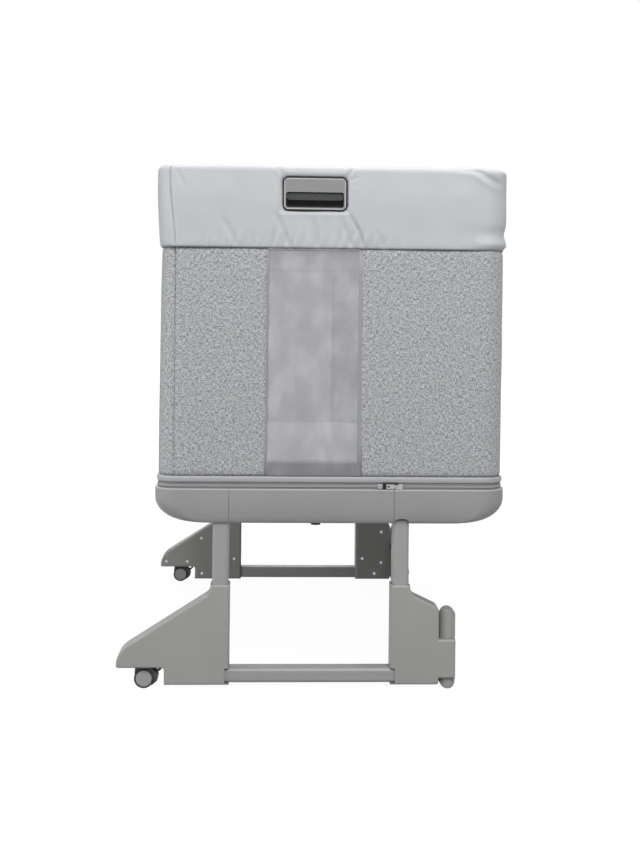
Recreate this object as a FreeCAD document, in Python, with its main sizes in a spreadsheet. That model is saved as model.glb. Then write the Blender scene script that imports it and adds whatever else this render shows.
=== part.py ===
import FreeCAD, Part
import math
import os
import re
import Sketcher
from FreeCAD import Placement, Rotation, Vector

# A bedside sleeper crib: a fabric basin on a moulded tray, carried by two telescopic leg stands.
# Frame, in millimetres: +X to the bed side, +Y along the crib away from the near end, +Z up.
# The origin is on the floor, under the middle of the whole crib.

doc = FreeCAD.newDocument("bedside_crib")

# ---------------------------------------------------------------- sizes

SIZES = [
    ("shell_width", 636, "moulded tray, across"),
    ("shell_length", 944, "moulded tray, along"),
    ("corner_radius", 42, "tray, plan corner"),
    ("tight_corner", 3, "least plan corner of a piece inside the tray's corner"),
    ("shell_height", 62, "tray, underside to rim"),
    ("shell_wall", 3, "tray, wall and floor"),
    ("rim_width", 14, "tray, inward rim under the zip"),
    ("side_round_width", 60, "tray, sweep of the long sides, across"),
    ("side_round_height", 44, "tray, sweep of the long sides, up"),
    ("end_round_width", 9, "tray, sweep of the ends, along"),
    ("part_gap", 0.6, "line between two mouldings of the tray"),
    ("ride_height", 300, "floor to tray underside"),
    ("total_height", 945, "floor to the top of the band"),
    ("basin_offset", 34.5, "basin centre from the stands' centre, to the bed side"),
    ("pad_radius", 9, "rubber pad under the tray"),
    ("pad_height", 8, "rubber pad below the tray"),
    ("socket_wall", 6, "sockets in the tray"),
    ("post_arch_height", 9, "arch in the tray's lower edge, over a bed-side post"),
    ("post_arch_round", 12, "arch over a bed-side post, upper corners"),
    ("board_height", 45, "tray underside to board"),
    ("board_thickness", 6, "base board"),
    ("board_inset", 16, "board edge from the tray face"),
    ("mattress_inset", 42, "mattress edge from the tray face"),
    ("mattress_thickness", 60, "mattress"),
    ("mattress_edge", 12, "mattress, rounding"),
    ("zip_height", 11, "rim to piping"),
    ("zip_inset", 5, "zip tape behind the tray face"),
    ("tape_thickness", 2, "zip tape"),
    ("teeth_height", 3.4, "zip teeth row"),
    ("teeth_proud", 1.2, "zip teeth in front of the tape"),
    ("piping_height", 11, "piping roll, up"),
    ("piping_inset", 2.5, "piping behind the tray face"),
    ("piping_depth", 8, "piping roll, through"),
    ("wall_inset", 5.5, "fabric wall behind the tray face"),
    ("wall_thickness", 2.5, "fabric wall"),
    ("wall_lap", 6, "fabric wall tucked up behind the band"),
    ("mesh_thickness", 1.2, "mesh panel"),
    ("mesh_left", 84, "mesh window, left of the stands' centre"),
    ("mesh_right", 88, "mesh window, right of the stands' centre"),
    ("band_height", 150, "padded band, outside"),
    ("band_inner_height", 95, "padded band, inside"),
    ("band_proud", 1, "padded band in front of the tray face"),
    ("band_pad", 6, "padded band, outer leaf"),
    ("band_inner_pad", 4, "padded band, inner leaf"),
    ("band_crown", 3, "padded band, over the fittings"),
    ("band_round", 12, "padded band, top rounding"),
    ("soft_gap", 0.4, "soft pieces from their neighbours"),
    ("tube_radius", 8, "frame tubes"),
    ("tube_wall", 1.5, "frame tubes"),
    ("rail_inset", 27, "frame tubes from the tray face"),
    ("fitting_wall", 3, "corner fittings and sleeves round a tube"),
    ("fitting_step", 0.4, "corner fittings, each arm slimmer than the one before"),
    ("fitting_reach", 34, "corner fittings along each tube"),
    ("fitting_depth", 26, "corner fittings down each upright"),
    ("slide_gap", 0.3, "sliding fit"),
    ("turn_gap", 0.05, "running fit"),
    ("sleeve_length", 34, "sleeves of the drop side"),
    ("sleeve_gap", 4, "sleeves below the corner fittings"),
    ("bracket_reach", 40, "drop-side bracket along the rail"),
    ("handle_width", 111, "release handle, bezel"),
    ("handle_height", 56, "release handle, bezel"),
    ("handle_depth", 26, "release handle, housing"),
    ("handle_corner", 7.7, "release handle, bezel corner"),
    ("handle_rim", 3.5, "release handle, rim round the recess"),
    ("recess_corner", 4.5, "release handle, corners of the recess"),
    ("handle_top", 25, "top of the band to the bezel"),
    ("plate_height", 25, "release handle, fixed plate over the recess"),
    ("plate_thickness", 3, "release handle, fixed plate"),
    ("lever_height", 13, "release handle, bar"),
    ("lever_thickness", 7, "release handle, bar"),
    ("lever_setback", 4, "release handle, bar behind the bezel"),
    ("lever_pin_radius", 1.5, "release handle, pin"),
    ("lever_pin_drop", 15, "bezel top to the pin"),
    ("latch_radius", 2.5, "latch rod"),
    ("leg_setback", 29, "stand plane inside the tray's end face"),
    ("post_spacing", 326, "posts, centre to centre"),
    ("post_width", 29, "post, across"),
    ("post_depth", 36, "post, along"),
    ("post_corner", 6, "post, edge rounding"),
    ("post_wall", 2, "post tube"),
    ("post_engagement", 60, "post inside its housing"),
    ("leg_wall", 2.5, "leg housing"),
    ("leg_edge", 4, "leg housing, face rounding"),
    ("neck_height", 188, "floor to the top of the leg housing"),
    ("leg_base", 8, "floor to the leg housing"),
    ("toe_height", 38.4, "floor to the underside of the caster toe"),
    ("toe_reach", 185, "post centre to the tip of the caster toe"),
    ("toe_shoulder", 66.6, "floor to the toe's upper corner"),
    ("toe_round", 43, "caster toe, upper corner"),
    ("toe_tip_round", 4.3, "caster toe, lower corner"),
    ("heel_round", 4.5, "hollow corner at the heel"),
    ("toe_neck", 173.3, "floor to the toe's slope at the neck"),
    ("heel_reach", 99, "post centre to the heel behind the caster"),
    ("neck_round", 20, "hollow corner under the neck"),
    ("bed_reach", 70.7, "post centre to the bed-side face of the housing"),
    ("bed_neck", 172, "floor to the bed-side slope at the neck"),
    ("bed_shoulder", 146.6, "floor to the bed-side slope's end"),
    ("bed_base_round", 4.5, "bed-side housing, lower corner"),
    ("bed_round", 12, "bed-side housing, upper corner"),
    ("cheek_reach", 101, "post centre to the hinge cheek"),
    ("cheek_low", 19.4, "floor to the hinge cheek"),
    ("cheek_high", 89.6, "floor to the top of the hinge cheek"),
    ("bar_height", 27, "crossbar, up"),
    ("bar_depth", 34, "crossbar, through"),
    ("bar_edge", 7, "crossbar, rounding"),
    ("bar_base", 10.5, "floor to the crossbar"),
    ("bar_entry", 30, "crossbar inside each housing"),
    ("bar_notch", 8, "notch in the housing's face over the crossbar"),
    ("screw_radius", 1.7, "leg screws, shank"),
    ("screw_head", 3.4, "leg screws, head"),
    ("foot_axis", 87.7, "post centre to the fold-out foot's pin"),
    ("foot_width", 30, "fold-out foot"),
    ("foot_height", 144, "fold-out foot"),
    ("foot_length", 160, "fold-out foot, beyond its pin"),
    ("foot_pin_radius", 4, "fold-out foot, pin"),
    ("foot_gap", 0.4, "fold-out foot above and below the cheek"),
    ("foot_tip_height", 60, "fold-out foot, at its free end"),
    ("foot_sweep", 190, "fold-out foot, hollow sweep of its top"),
    ("foot_round", 25, "fold-out foot, upper free corner"),
    ("foot_flat", 0.5, "fold-out foot, worn flat it stands on"),
    ("wheel_radius", 17.6, "caster wheel"),
    ("wheel_width", 9, "one of the twin caster wheels"),
    ("web_thickness", 5, "caster body between the wheels"),
    ("web_gap", 0.5, "caster wheels from the body"),
    ("axle_radius", 3, "caster axle"),
    ("stem_radius", 4, "caster stem"),
    ("stem_length", 22, "caster stem above its body"),
    ("stem_reach", 129, "post centre to the caster stem"),
    ("trail", 6.5, "caster axle from the stem"),
    ("button_proud", 2.3, "height button in front of the post"),
    ("button_width", 10, "height button"),
    ("button_height", 18, "height button"),
    ("button_base", 205, "floor to the height button"),
    ("slider_x", 157, "zip slider from the stands' centre"),
    ("slider_width", 13, "zip slider"),
    ("slider_depth", 4.6, "zip slider"),
    ("puller_length", 18, "zip pull"),
    ("puller_height", 8.5, "zip pull"),
    ("puller_thickness", 1.8, "zip pull"),
]

# Places that follow from the sizes; each formula reads the cells above and before it.
PLACES = [
    ("basin_x", "(toe_reach + post_spacing / 2 + basin_offset - shell_width / 2 - band_proud) / 2"),
    ("stand_x", "basin_x - basin_offset"),
    ("shell_left", "basin_x - shell_width / 2"),
    ("shell_right", "basin_x + shell_width / 2"),
    ("near_face", "0 - shell_length / 2"),
    ("rim_top", "ride_height + shell_height"),
    ("piping_base", "rim_top + zip_height"),
    ("wall_base", "piping_base + piping_height"),
    ("band_base", "total_height - band_height"),
    ("wall_top", "band_base + wall_lap"),
    ("board_base", "ride_height + board_height"),
    ("mattress_base", "board_base + board_thickness"),
    ("fitting_radius", "tube_radius + turn_gap + fitting_wall"),
    ("rail_height", "total_height - band_crown - soft_gap - fitting_radius"),
    ("left_rail_x", "shell_left + rail_inset"),
    ("right_rail_x", "shell_right - rail_inset"),
    ("near_rail_y", "near_face + rail_inset"),
    ("band_depth", "rail_inset + fitting_radius + soft_gap"),
    ("upright_base", "ride_height + side_round_height * 0.7"),
    ("fitting_base", "rail_height - fitting_depth"),
    ("sleeve_top", "fitting_base - sleeve_gap"),
    ("sleeve_base", "sleeve_top - sleeve_length"),
    ("sleeve_radius", "tube_radius + slide_gap + fitting_wall"),
    ("band_width", "band_depth + band_inner_pad"),
    ("near_seam_y", "near_face + max(corner_radius; band_width)"),
    ("left_seam_x", "shell_left + max(corner_radius; band_width)"),
    ("bezel_top", "total_height - handle_top"),
    ("bezel_base", "bezel_top - handle_height"),
    ("bezel_face", "near_face - band_proud - soft_gap"),
    ("recess_top", "bezel_top - plate_height"),
    ("recess_half", "handle_width / 2 - handle_rim"),
    ("lever_face", "bezel_face + lever_setback"),
    ("lever_pin_y", "lever_face + lever_thickness / 2"),
    ("lever_pin_z", "bezel_top - lever_pin_drop"),
    ("lever_top", "recess_top - 1"),
    ("latch_z", "fitting_base - latch_radius * 3"),
    ("leg_y", "near_face + leg_setback"),
    ("leg_half_depth", "post_depth / 2 + slide_gap + leg_wall"),
    ("neck_half", "post_width / 2 + slide_gap + leg_wall"),
    ("left_post_x", "stand_x - post_spacing / 2"),
    ("right_post_x", "stand_x + post_spacing / 2"),
    ("post_base", "neck_height - post_engagement"),
    ("post_top", "board_base - 2"),
    ("stem_x", "left_post_x - stem_reach"),
    ("axle_x", "stem_x - trail"),
    ("foot_x", "right_post_x + foot_axis"),
    ("button_face", "right_post_x + post_width / 2"),
    ("slider_left", "stand_x + slider_x - slider_width / 2"),
    ("slider_back", "near_face + zip_inset - teeth_proud - slide_gap"),
    ("pull_pivot_x", "slider_left + 1.5"),
    ("pull_pivot_y", "slider_back - slider_depth * 0.75"),
]

ALIASES = {}


def formula(text):
    """The expression in which each size's name points at its cell."""
    return re.sub(r"[a-z][a-z_]+", lambda word: ALIASES.get(word.group(), word.group()), str(text))


def fill_sheet(label, rows, computed):
    """A sheet with a name, a value and a note in each row."""
    sheet = doc.addObject("Spreadsheet::Sheet", label)
    for row, entry in enumerate(rows, start=1):
        name, content = entry[0], entry[1]
        sheet.set(f"A{row}", name)
        sheet.set(f"B{row}", "=" + formula(content) if computed else str(content))
        sheet.setAlias(f"B{row}", name)
        if len(entry) > 2:
            sheet.set(f"C{row}", entry[2])
        ALIASES[name] = f"{label}.{name}"
    doc.recompute()
    return sheet


fill_sheet("Sizes", SIZES, False)
places = fill_sheet("Places", PLACES, True)


def number(text):
    """The value of an expression over the sheets."""
    return float(places.evalExpression(formula(str(text))))


# ---------------------------------------------------------------- building helpers

TURNS = {"X": Rotation(Vector(0, 1, 0), 90), "Y": Rotation(Vector(1, 0, 0), -90), "Z": Rotation()}
NODES = []
REACH = 5


def bind(thing, **formulas):
    """Ties properties to the sheets; a dot in a property's path is written as two underscores."""
    for path, text in formulas.items():
        thing.setExpression(path.replace("__", "."), formula(str(text)))
    return thing


def place(thing, x, y, z):
    """Ties a piece's position to the sheets."""
    return bind(thing, Placement__Base__x=x, Placement__Base__y=y, Placement__Base__z=z)


def box(name, x, y, z, dx, dy, dz):
    """A block from its low corner and its three sizes."""
    block = doc.addObject("Part::Box", name)
    bind(block, Length=dx, Width=dy, Height=dz)
    return place(block, x, y, z)


def block_between(name, low, high):
    """A block from its low corner to its high corner."""
    sides = [f"({top}) - ({bottom})" for bottom, top in zip(low, high)]
    return box(name, *low, *sides)


def rod(name, axis, radius, x, y, z, length):
    """A round bar that starts at a point and runs along an axis."""
    bar = doc.addObject("Part::Cylinder", name)
    bar.Placement = Placement(Vector(), TURNS[axis])
    bind(bar, Radius=radius, Height=length)
    return place(bar, x, y, z)


def fuse(name, *pieces):
    joined = doc.addObject("Part::MultiFuse", name)
    joined.Shapes = list(pieces)
    return joined


def cut(name, base, *tools):
    """The base with every tool taken out of it."""
    result = doc.addObject("Part::Cut", name)
    result.Base = base
    result.Tool = tools[0] if len(tools) == 1 else fuse(name + "_tools", *tools)
    return result


def common(name, base, tool):
    result = doc.addObject("Part::Common", name)
    result.Base = base
    result.Tool = tool
    return result


def group(name, *pieces):
    """Separate pieces that share one node."""
    bundle = doc.addObject("Part::Compound", name)
    bundle.Links = list(pieces)
    return bundle


def rounded(name, base, radius, pick):
    """The base with the edges that pick accepts rounded."""
    doc.recompute()
    size = number(radius)
    result = doc.addObject("Part::Fillet", name)
    result.Base = base
    edges = enumerate(base.Shape.Edges, start=1)
    result.Edges = [(index, size, size) for index, edge in edges if pick(edge)]
    return result


def tube(name, axis, radius, x, y, z, length, wall="tube_wall"):
    """A round tube, open at both ends."""
    outer = rod(name + "_outside", axis, radius, x, y, z, length)
    inner = rod(name + "_inside", axis, f"({radius}) - {wall}", x, y, z, length)
    return cut(name, outer, inner)


def shape_piece(name, shape):
    """A piece whose shape is worked out here from the sheets."""
    piece = doc.addObject("Part::Feature", name)
    piece.Shape = shape
    return piece


def mirrored(name, source):
    """The far end's copy of a near piece."""
    copy = doc.addObject("Part::Mirroring", name)
    copy.Source = source
    copy.Normal = Vector(0, 1, 0)
    return copy


def both_ends(name, source):
    """A near piece and its far copy, as separate solids of one node."""
    return group(name, source, mirrored(name + "_far", source))


def node(label, piece):
    """Registers a finished piece under the name of its file."""
    piece.Label = label
    NODES.append((label, piece))
    return piece


def near_and_far(label, piece):
    """Registers a near piece and its far copy as two nodes."""
    node("near_" + label, piece)
    node("far_" + label, mirrored("far_" + label + "_copy", piece))
    return piece


def runs_along(edge, axis):
    """Whether an edge is a straight line along an axis."""
    if not isinstance(edge.Curve, Part.Line):
        return False
    direction = edge.Curve.Direction
    return abs(abs(getattr(direction, axis.lower())) - 1) < 1e-6


def lies_at(edge, axis, level):
    """Whether a whole edge lies in the plane at a level of an axis."""
    box_of_edge = edge.BoundBox
    low = getattr(box_of_edge, axis + "Min")
    high = getattr(box_of_edge, axis + "Max")
    return abs(low - level) < 1e-4 and abs(high - level) < 1e-4


def plan_block(name, inset, low, high):
    """A block with the basin's rounded plan, drawn in from the tray's faces by inset."""
    block = box(
        name + "_block",
        f"shell_left + ({inset})",
        f"near_face + ({inset})",
        low,
        f"shell_width - 2 * ({inset})",
        f"shell_length - 2 * ({inset})",
        f"({high}) - ({low})",
    )
    radius = f"max(corner_radius - ({inset}); tight_corner)"
    return rounded(name, block, radius, lambda edge: runs_along(edge, "Z"))


def plan_ring(name, outer_inset, inner_inset, low, high):
    """A wall that follows the basin's plan between two insets."""
    outer = plan_block(name + "_outer", outer_inset, low, high)
    inner = plan_block(name + "_inner", inner_inset, f"({low}) - {REACH}", f"({high}) + {REACH}")
    return cut(name, outer, inner)


# ---------------------------------------------------------------- tray

def plan_wire(half_width, half_length, radius, height):
    """A rounded rectangle round the basin's centre line: four sides and four quarter arcs."""
    centre = number("basin_x")
    slant = radius * math.sqrt(0.5)
    edges = []
    for turn in range(4):
        across, along = (half_width, half_length) if turn % 2 == 0 else (half_length, half_width)
        corner = Vector(across - radius, along - radius, 0)
        start = Vector(across, radius - along, 0)
        end = Vector(across, along - radius, 0)
        middle = corner + Vector(slant, slant, 0)
        finish = Vector(across - radius, along, 0)
        spin = Rotation(Vector(0, 0, 1), 90 * turn)
        shift = Vector(centre, 0, height)
        points = [spin.multVec(point) + shift for point in (start, end, middle, finish)]
        edges.append(Part.LineSegment(points[0], points[1]).toShape())
        edges.append(Part.Arc(points[1], points[2], points[3]).toShape())
    return Part.Wire(edges)


def tray_form(wall):
    """The tray's outer form, or with a wall the hollow inside it: a swept bottom under a straight rim."""
    steps = 6
    half_width = number("shell_width") / 2 - wall
    half_length = number("shell_length") / 2 - wall
    radius = number("corner_radius") - wall
    base = number("ride_height") + wall
    rise = number("side_round_height")
    sections = []
    for step in range(steps + 1):
        angle = math.pi / 2 * step / steps
        across = number("side_round_width") * (1 - math.sin(angle))
        along = number("end_round_width") * (1 - math.sin(angle))
        height = base + rise * (1 - math.cos(angle))
        sections.append(plan_wire(half_width - across, half_length - along, radius, height))
    bowl = Part.makeLoft(sections, True, False)
    top = base + rise
    rim = plan_wire(half_width, half_length, radius, top)
    wall_height = number("rim_top") - top - wall
    if wall == 0:
        wall_height = number("rim_top") - top
    straight = Part.Face(rim).extrude(Vector(0, 0, wall_height))
    return bowl.fuse(straight).removeSplitter()


def build_tray():
    """The three mouldings of the tray, the sockets in it and the pads under it."""
    outside = shape_piece("tray_outside", tray_form(0))
    hollow = shape_piece("tray_hollow", tray_form(number("shell_wall")))
    mouth = plan_block("tray_mouth", "rim_width", f"rim_top - shell_wall - {REACH}", f"rim_top + {REACH}")
    post_holes = []
    for side in ("left", "right"):
        hole = block_between(
            f"{side}_post_hole",
            (
                f"{side}_post_x - post_width / 2 - slide_gap", "leg_y - post_depth / 2 - slide_gap",
                "ride_height - 10",
            ),
            (
                f"{side}_post_x + post_width / 2 + slide_gap", "leg_y + post_depth / 2 + slide_gap",
                "post_top",
            ),
        )
        hole = rounded(f"{side}_post_opening", hole, "post_corner", lambda edge: runs_along(edge, "Z"))
        post_holes += [hole, mirrored(f"{side}_post_opening_far", hole)]
    arch = block_between(
        "post_arch_block",
        ("right_post_x - post_width / 2", "near_face - 5", "ride_height - post_arch_round - 5"),
        ("right_post_x + post_width / 2 + slide_gap", "leg_y", "ride_height + post_arch_height"),
    )
    arch = rounded("post_arch", arch, "post_arch_round", lambda edge: runs_along(edge, "Y"))
    post_holes += [arch, mirrored("post_arch_far", arch)]
    upright_holes = []
    for side in ("left", "right"):
        hole = rod(
            f"{side}_rim_hole", "Z", "tube_radius + slide_gap",
            f"{side}_rail_x", "near_rail_y", "board_base", "board_height",
        )
        upright_holes += [hole, mirrored(f"{side}_rim_hole_far", hole)]
    tray = cut("tray", outside, hollow, mouth, *post_holes, *upright_holes)
    line = "post_spacing / 2 - post_width / 2"
    zones = {
        "left": ("shell_left - 5", f"stand_x - ({line}) - part_gap / 2"),
        "centre": (f"stand_x - ({line}) + part_gap / 2", f"stand_x + ({line}) - part_gap / 2"),
        "right": (f"stand_x + ({line}) + part_gap / 2", "shell_right + 5"),
    }
    for side, (low, high) in zones.items():
        zone = block_between(
            f"{side}_zone",
            (low, "near_face - 5", "ride_height - 5"),
            (high, "5 - near_face", "rim_top + 5"),
        )
        node(f"base_shell_{side}", common(f"base_shell_{side}", tray, zone))
    build_sockets(hollow)
    build_pads(outside)


def build_sockets(hollow):
    """Sockets that hold the posts and the uprights; the board lies on them."""
    sockets = []
    for side in ("left", "right"):
        block = block_between(
            f"{side}_post_block",
            (
                f"{side}_post_x - post_width / 2 - socket_wall",
                "leg_y - post_depth / 2 - socket_wall / 2",
                "ride_height + shell_wall + 2",
            ),
            (
                f"{side}_post_x + post_width / 2 + socket_wall", "leg_y + post_depth / 2 + socket_wall",
                "board_base",
            ),
        )
        seat = block_between(
            f"{side}_post_seat",
            (f"{side}_post_x - post_width / 2", "leg_y - post_depth / 2", "ride_height - 5"),
            (f"{side}_post_x + post_width / 2", "leg_y + post_depth / 2", "post_top"),
        )
        seat = rounded(f"{side}_post_seat_round", seat, "post_corner", lambda edge: runs_along(edge, "Z"))
        fitted = common(f"{side}_post_block_in_tray", block, hollow)
        sockets.append(cut(f"{side}_post_socket", fitted, seat))
    for side in ("left", "right"):
        body = rod(
            f"{side}_upright_body", "Z", "tube_radius + socket_wall",
            f"{side}_rail_x", "near_rail_y", "upright_base", "board_base - upright_base",
        )
        seat = rod(
            f"{side}_upright_seat", "Z", "tube_radius",
            f"{side}_rail_x", "near_rail_y", "upright_base + 3", "shell_height",
        )
        fitted = common(f"{side}_upright_body_in_tray", body, hollow)
        sockets.append(cut(f"{side}_upright_socket", fitted, seat))
    near = group("near_sockets", *sockets)
    node("tray_sockets", both_ends("tray_sockets", near))


def build_pads(outside):
    """Rubber pads under the tray: one in the middle of each end and two along each side."""
    spots = [
        ("stand_x + 9", "leg_y + 16"), ("shell_left + 31", "near_face + 90"),
        ("shell_right - 31", "near_face + 90"),
    ]
    pads = []
    for index, (x, y) in enumerate(spots):
        low = "ride_height - pad_height"
        if index > 0:
            low = "ride_height - pad_height + side_round_height / 4"
        pad = rod(f"pad_{index}_bar", "Z", "pad_radius", x, y, low, "pad_height * 3")
        pads.append(cut(f"pad_{index}", pad, outside))
    node("underside_pads", both_ends("underside_pads", group("near_pads", *pads)))


# ---------------------------------------------------------------- board, mattress and frame

def build_bed():
    """The base board and the mattress on it."""
    board = plan_block("board_plan", "board_inset", "board_base", "mattress_base")
    holes = []
    for side in ("left", "right"):
        hole = rod(
            f"{side}_board_hole", "Z", "tube_radius + slide_gap",
            f"{side}_rail_x", "near_rail_y", "board_base - 5", "board_thickness + 10",
        )
        holes += [hole, mirrored(f"{side}_board_hole_far", hole)]
    node("base_board", cut("base_board", board, *holes))
    pad = box(
        "mattress_block", "shell_left + mattress_inset", "near_face + mattress_inset", "mattress_base",
        "shell_width - 2 * mattress_inset", "shell_length - 2 * mattress_inset", "mattress_thickness",
    )
    corners = rounded("mattress_plan", pad, "corner_radius", lambda edge: runs_along(edge, "Z"))
    top = number("mattress_base + mattress_thickness")
    base = number("mattress_base")
    soft = rounded(
        "mattress", corners, "mattress_edge",
        lambda edge: lies_at(edge, "Z", top) or lies_at(edge, "Z", base),
    )
    node("mattress", soft)


def build_frame():
    """Uprights, the welded top tubes and the corner fittings that join them."""
    uprights = []
    for side in ("left", "right"):
        upright = tube(
            f"{side}_upright", "Z", "tube_radius",
            f"{side}_rail_x", "near_rail_y", "upright_base + 3",
            "fitting_base + fitting_depth * 0.6 - upright_base - 3",
        )
        uprights.append(upright)
    node("corner_uprights", both_ends("corner_uprights", group("near_uprights", *uprights)))
    end_tube = tube(
        "end_top_tube", "X", "tube_radius",
        "left_rail_x + fitting_radius", "near_rail_y", "rail_height",
        "right_rail_x - left_rail_x - 2 * fitting_radius",
    )
    side_tube = tube(
        "left_top_tube", "Y", "tube_radius",
        "left_rail_x", "near_rail_y + fitting_radius", "rail_height",
        "0 - 2 * (near_rail_y + fitting_radius)",
    )
    node(
        "top_frame_tubes",
        group("top_frame_tubes", end_tube, mirrored("end_top_tube_far", end_tube), side_tube),
    )
    node(
        "corner_fittings",
        both_ends("corner_fittings", group("near_fittings", left_fitting(), right_fitting())),
    )


def fitting_arm(name, axis, x, y, z, length):
    """A round arm of a corner fitting: fullest down the upright, slimmer along each top tube."""
    slimmer = {"Z": 0, "X": 1, "Y": 2}[axis]
    return rod(name, axis, f"fitting_radius - {slimmer} * fitting_step", x, y, z, length)


def fitting_bore(name, axis, x, y, z, length):
    """The bore of a corner fitting's arm, for its tube."""
    return rod(name, axis, "tube_radius", x, y, z, length)


def left_fitting():
    """The fitting that joins an upright, an end tube and the left side tube."""
    body = fuse(
        "left_fitting_body",
        fitting_arm(
            "left_fitting_leg", "Z", "left_rail_x", "near_rail_y", "fitting_base",
            "fitting_depth + fitting_radius",
        ),
        fitting_arm(
            "left_fitting_across", "X", "left_rail_x", "near_rail_y", "rail_height", "fitting_reach",
        ),
        fitting_arm(
            "left_fitting_along", "Y", "left_rail_x", "near_rail_y", "rail_height", "fitting_reach",
        ),
    )
    return cut(
        "left_fitting", body,
        fitting_bore(
            "left_leg_bore", "Z", "left_rail_x", "near_rail_y", "fitting_base - 5",
            "fitting_depth * 0.6 + 5",
        ),
        fitting_bore(
            "left_across_bore", "X",
            "left_rail_x + fitting_radius", "near_rail_y", "rail_height", "fitting_reach",
        ),
        fitting_bore(
            "left_along_bore", "Y",
            "left_rail_x", "near_rail_y + fitting_radius", "rail_height", "fitting_reach",
        ),
    )


def right_fitting():
    """The fitting that joins an upright and an end tube, with the guide of the latch rod under it."""
    lug = block_between(
        "latch_guide",
        ("right_rail_x - fitting_reach", "near_rail_y - latch_radius * 2", "latch_z - latch_radius * 2"),
        ("right_rail_x - fitting_reach + 12", "near_rail_y + latch_radius * 2", "rail_height"),
    )
    body = fuse(
        "right_fitting_body",
        fitting_arm(
            "right_fitting_leg", "Z", "right_rail_x", "near_rail_y", "fitting_base",
            "fitting_depth + fitting_radius",
        ),
        fitting_arm(
        "right_fitting_across", "X",
        "right_rail_x - fitting_reach", "near_rail_y", "rail_height", "fitting_reach",
        ),
        lug,
    )
    return cut(
        "right_fitting", body,
        fitting_bore(
            "right_leg_bore", "Z", "right_rail_x", "near_rail_y", "fitting_base - 5",
            "fitting_depth * 0.6 + 5",
        ),
        fitting_bore(
            "right_across_bore", "X", "right_rail_x - fitting_reach - 5", "near_rail_y", "rail_height",
            "fitting_reach - fitting_radius + 5",
        ),
        rod(
            "latch_guide_bore", "X", "latch_radius + turn_gap",
            "right_rail_x - fitting_reach - 5", "near_rail_y", "latch_z", 22,
        ),
    )


# ---------------------------------------------------------------- fabric

def zone(name, low_x, low_y, high_x, high_y):
    """A tall block that marks off a stretch of the basin's plan."""
    return block_between(name, (low_x, low_y, "ride_height"), (high_x, high_y, "total_height + 5"))


def split_round(base, label, soft_end):
    """Splits a wall that runs round the basin into its left, near, far and right stretches."""
    left = zone(label + "_left_zone", "shell_left - 9", "near_face - 9", "left_seam_x", "9 - near_face")
    near = zone(label + "_near_zone", "left_seam_x", "near_face - 9", "shell_right + 9", "near_seam_y")
    right = zone(
        label + "_right_zone",
        "basin_x", f"near_seam_y + ({soft_end})", "shell_right + 9", f"0 - near_seam_y - ({soft_end})",
    )
    return {
        "left": common(label + "_left", base, left),
        "near": common(label + "_near", base, near),
        "right": common(label + "_right", base, right),
    }


def build_walls():
    """The fabric walls, with a mesh window in each end."""
    ring = plan_ring("wall_ring", "wall_inset", "wall_inset + wall_thickness", "wall_base", "wall_top")
    parts = split_round(ring, "wall", "soft_gap")
    window = block_between(
        "window_space",
        ("stand_x - mesh_left", "near_face - 9", "wall_base - 5"),
        ("stand_x + mesh_right", "near_seam_y", "wall_top + 5"),
    )
    node("left_wall", parts["left"])
    near_and_far("end_wall", cut("near_end_wall_panel", parts["near"], window))
    node("right_wall", parts["right"])
    mesh = block_between(
        "near_mesh",
        (
            "stand_x - mesh_left", "near_face + wall_inset + (wall_thickness - mesh_thickness) / 2",
            "wall_base",
        ),
        (
            "stand_x + mesh_right", "near_face + wall_inset + (wall_thickness + mesh_thickness) / 2",
            "wall_top",
        ),
    )
    node("mesh_windows", both_ends("mesh_windows", mesh))


def build_bands():
    """The padded band: an upturned channel over the top tubes, with an opening for each handle."""
    ring = plan_ring("band_ring", "0 - band_proud", "band_width", "band_base", "total_height")
    top = number("total_height")
    crown = rounded("band_rounded", ring, "band_round", lambda edge: lies_at(edge, "Z", top))
    hollow = plan_ring(
        "band_hollow", "band_pad - band_proud", "band_depth", "band_base - 9", "total_height - band_crown",
    )
    inside = plan_ring(
        "band_inside", "band_depth - 1", "band_width + 1", "band_base - 9",
        "total_height - band_inner_height",
    )
    band = cut("band", crown, hollow, inside)
    parts = split_round(band, "band", "soft_gap")
    opening = block_between(
        "handle_opening",
        ("stand_x - handle_width / 2 - soft_gap", "near_face - 9", "bezel_base - soft_gap"),
        ("stand_x + handle_width / 2 + soft_gap", "near_face + band_pad + 1", "bezel_top + soft_gap"),
    )
    opening = rounded("handle_opening_round", opening, "handle_corner", lambda edge: runs_along(edge, "Y"))
    node("left_band", parts["left"])
    near_and_far("band", cut("near_band_panel", parts["near"], opening))
    node("right_band", parts["right"])


def build_edging():
    """The piping and the zip between the walls and the tray."""
    ring = plan_ring(
        "piping_ring", "piping_inset", "piping_inset + piping_depth", "piping_base", "wall_base",
    )
    levels = [number("piping_base"), number("wall_base")]
    pick = lambda edge: any(lies_at(edge, "Z", level) for level in levels)
    node("bottom_piping", rounded("bottom_piping", ring, "piping_depth * 0.36", pick))
    tape = plan_ring("zip_tape_ring", "zip_inset", "zip_inset + tape_thickness", "rim_top", "piping_base")
    stop = block_between(
        "zip_stop",
        (
            "slider_left - puller_length - 9", "near_face + zip_inset - 4",
            "rim_top",
        ),
        ("slider_left - puller_length", "near_face + zip_inset", "piping_base"),
    )
    node("zip_tape", group("zip_tape", tape, stop))
    middle = "rim_top + zip_height / 2"
    teeth = plan_ring(
        "zip_teeth_ring", "zip_inset - teeth_proud", "zip_inset",
        f"{middle} - teeth_height / 2", f"{middle} + teeth_height / 2",
    )
    gap = block_between(
        "zip_stop_space",
        ("slider_left - puller_length - 9", "near_face", "rim_top"),
        (
            "slider_left - puller_length", "near_face + zip_inset + 1",
            "piping_base",
        ),
    )
    node("zip_teeth", cut("zip_teeth", teeth, gap))
    build_slider()


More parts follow.
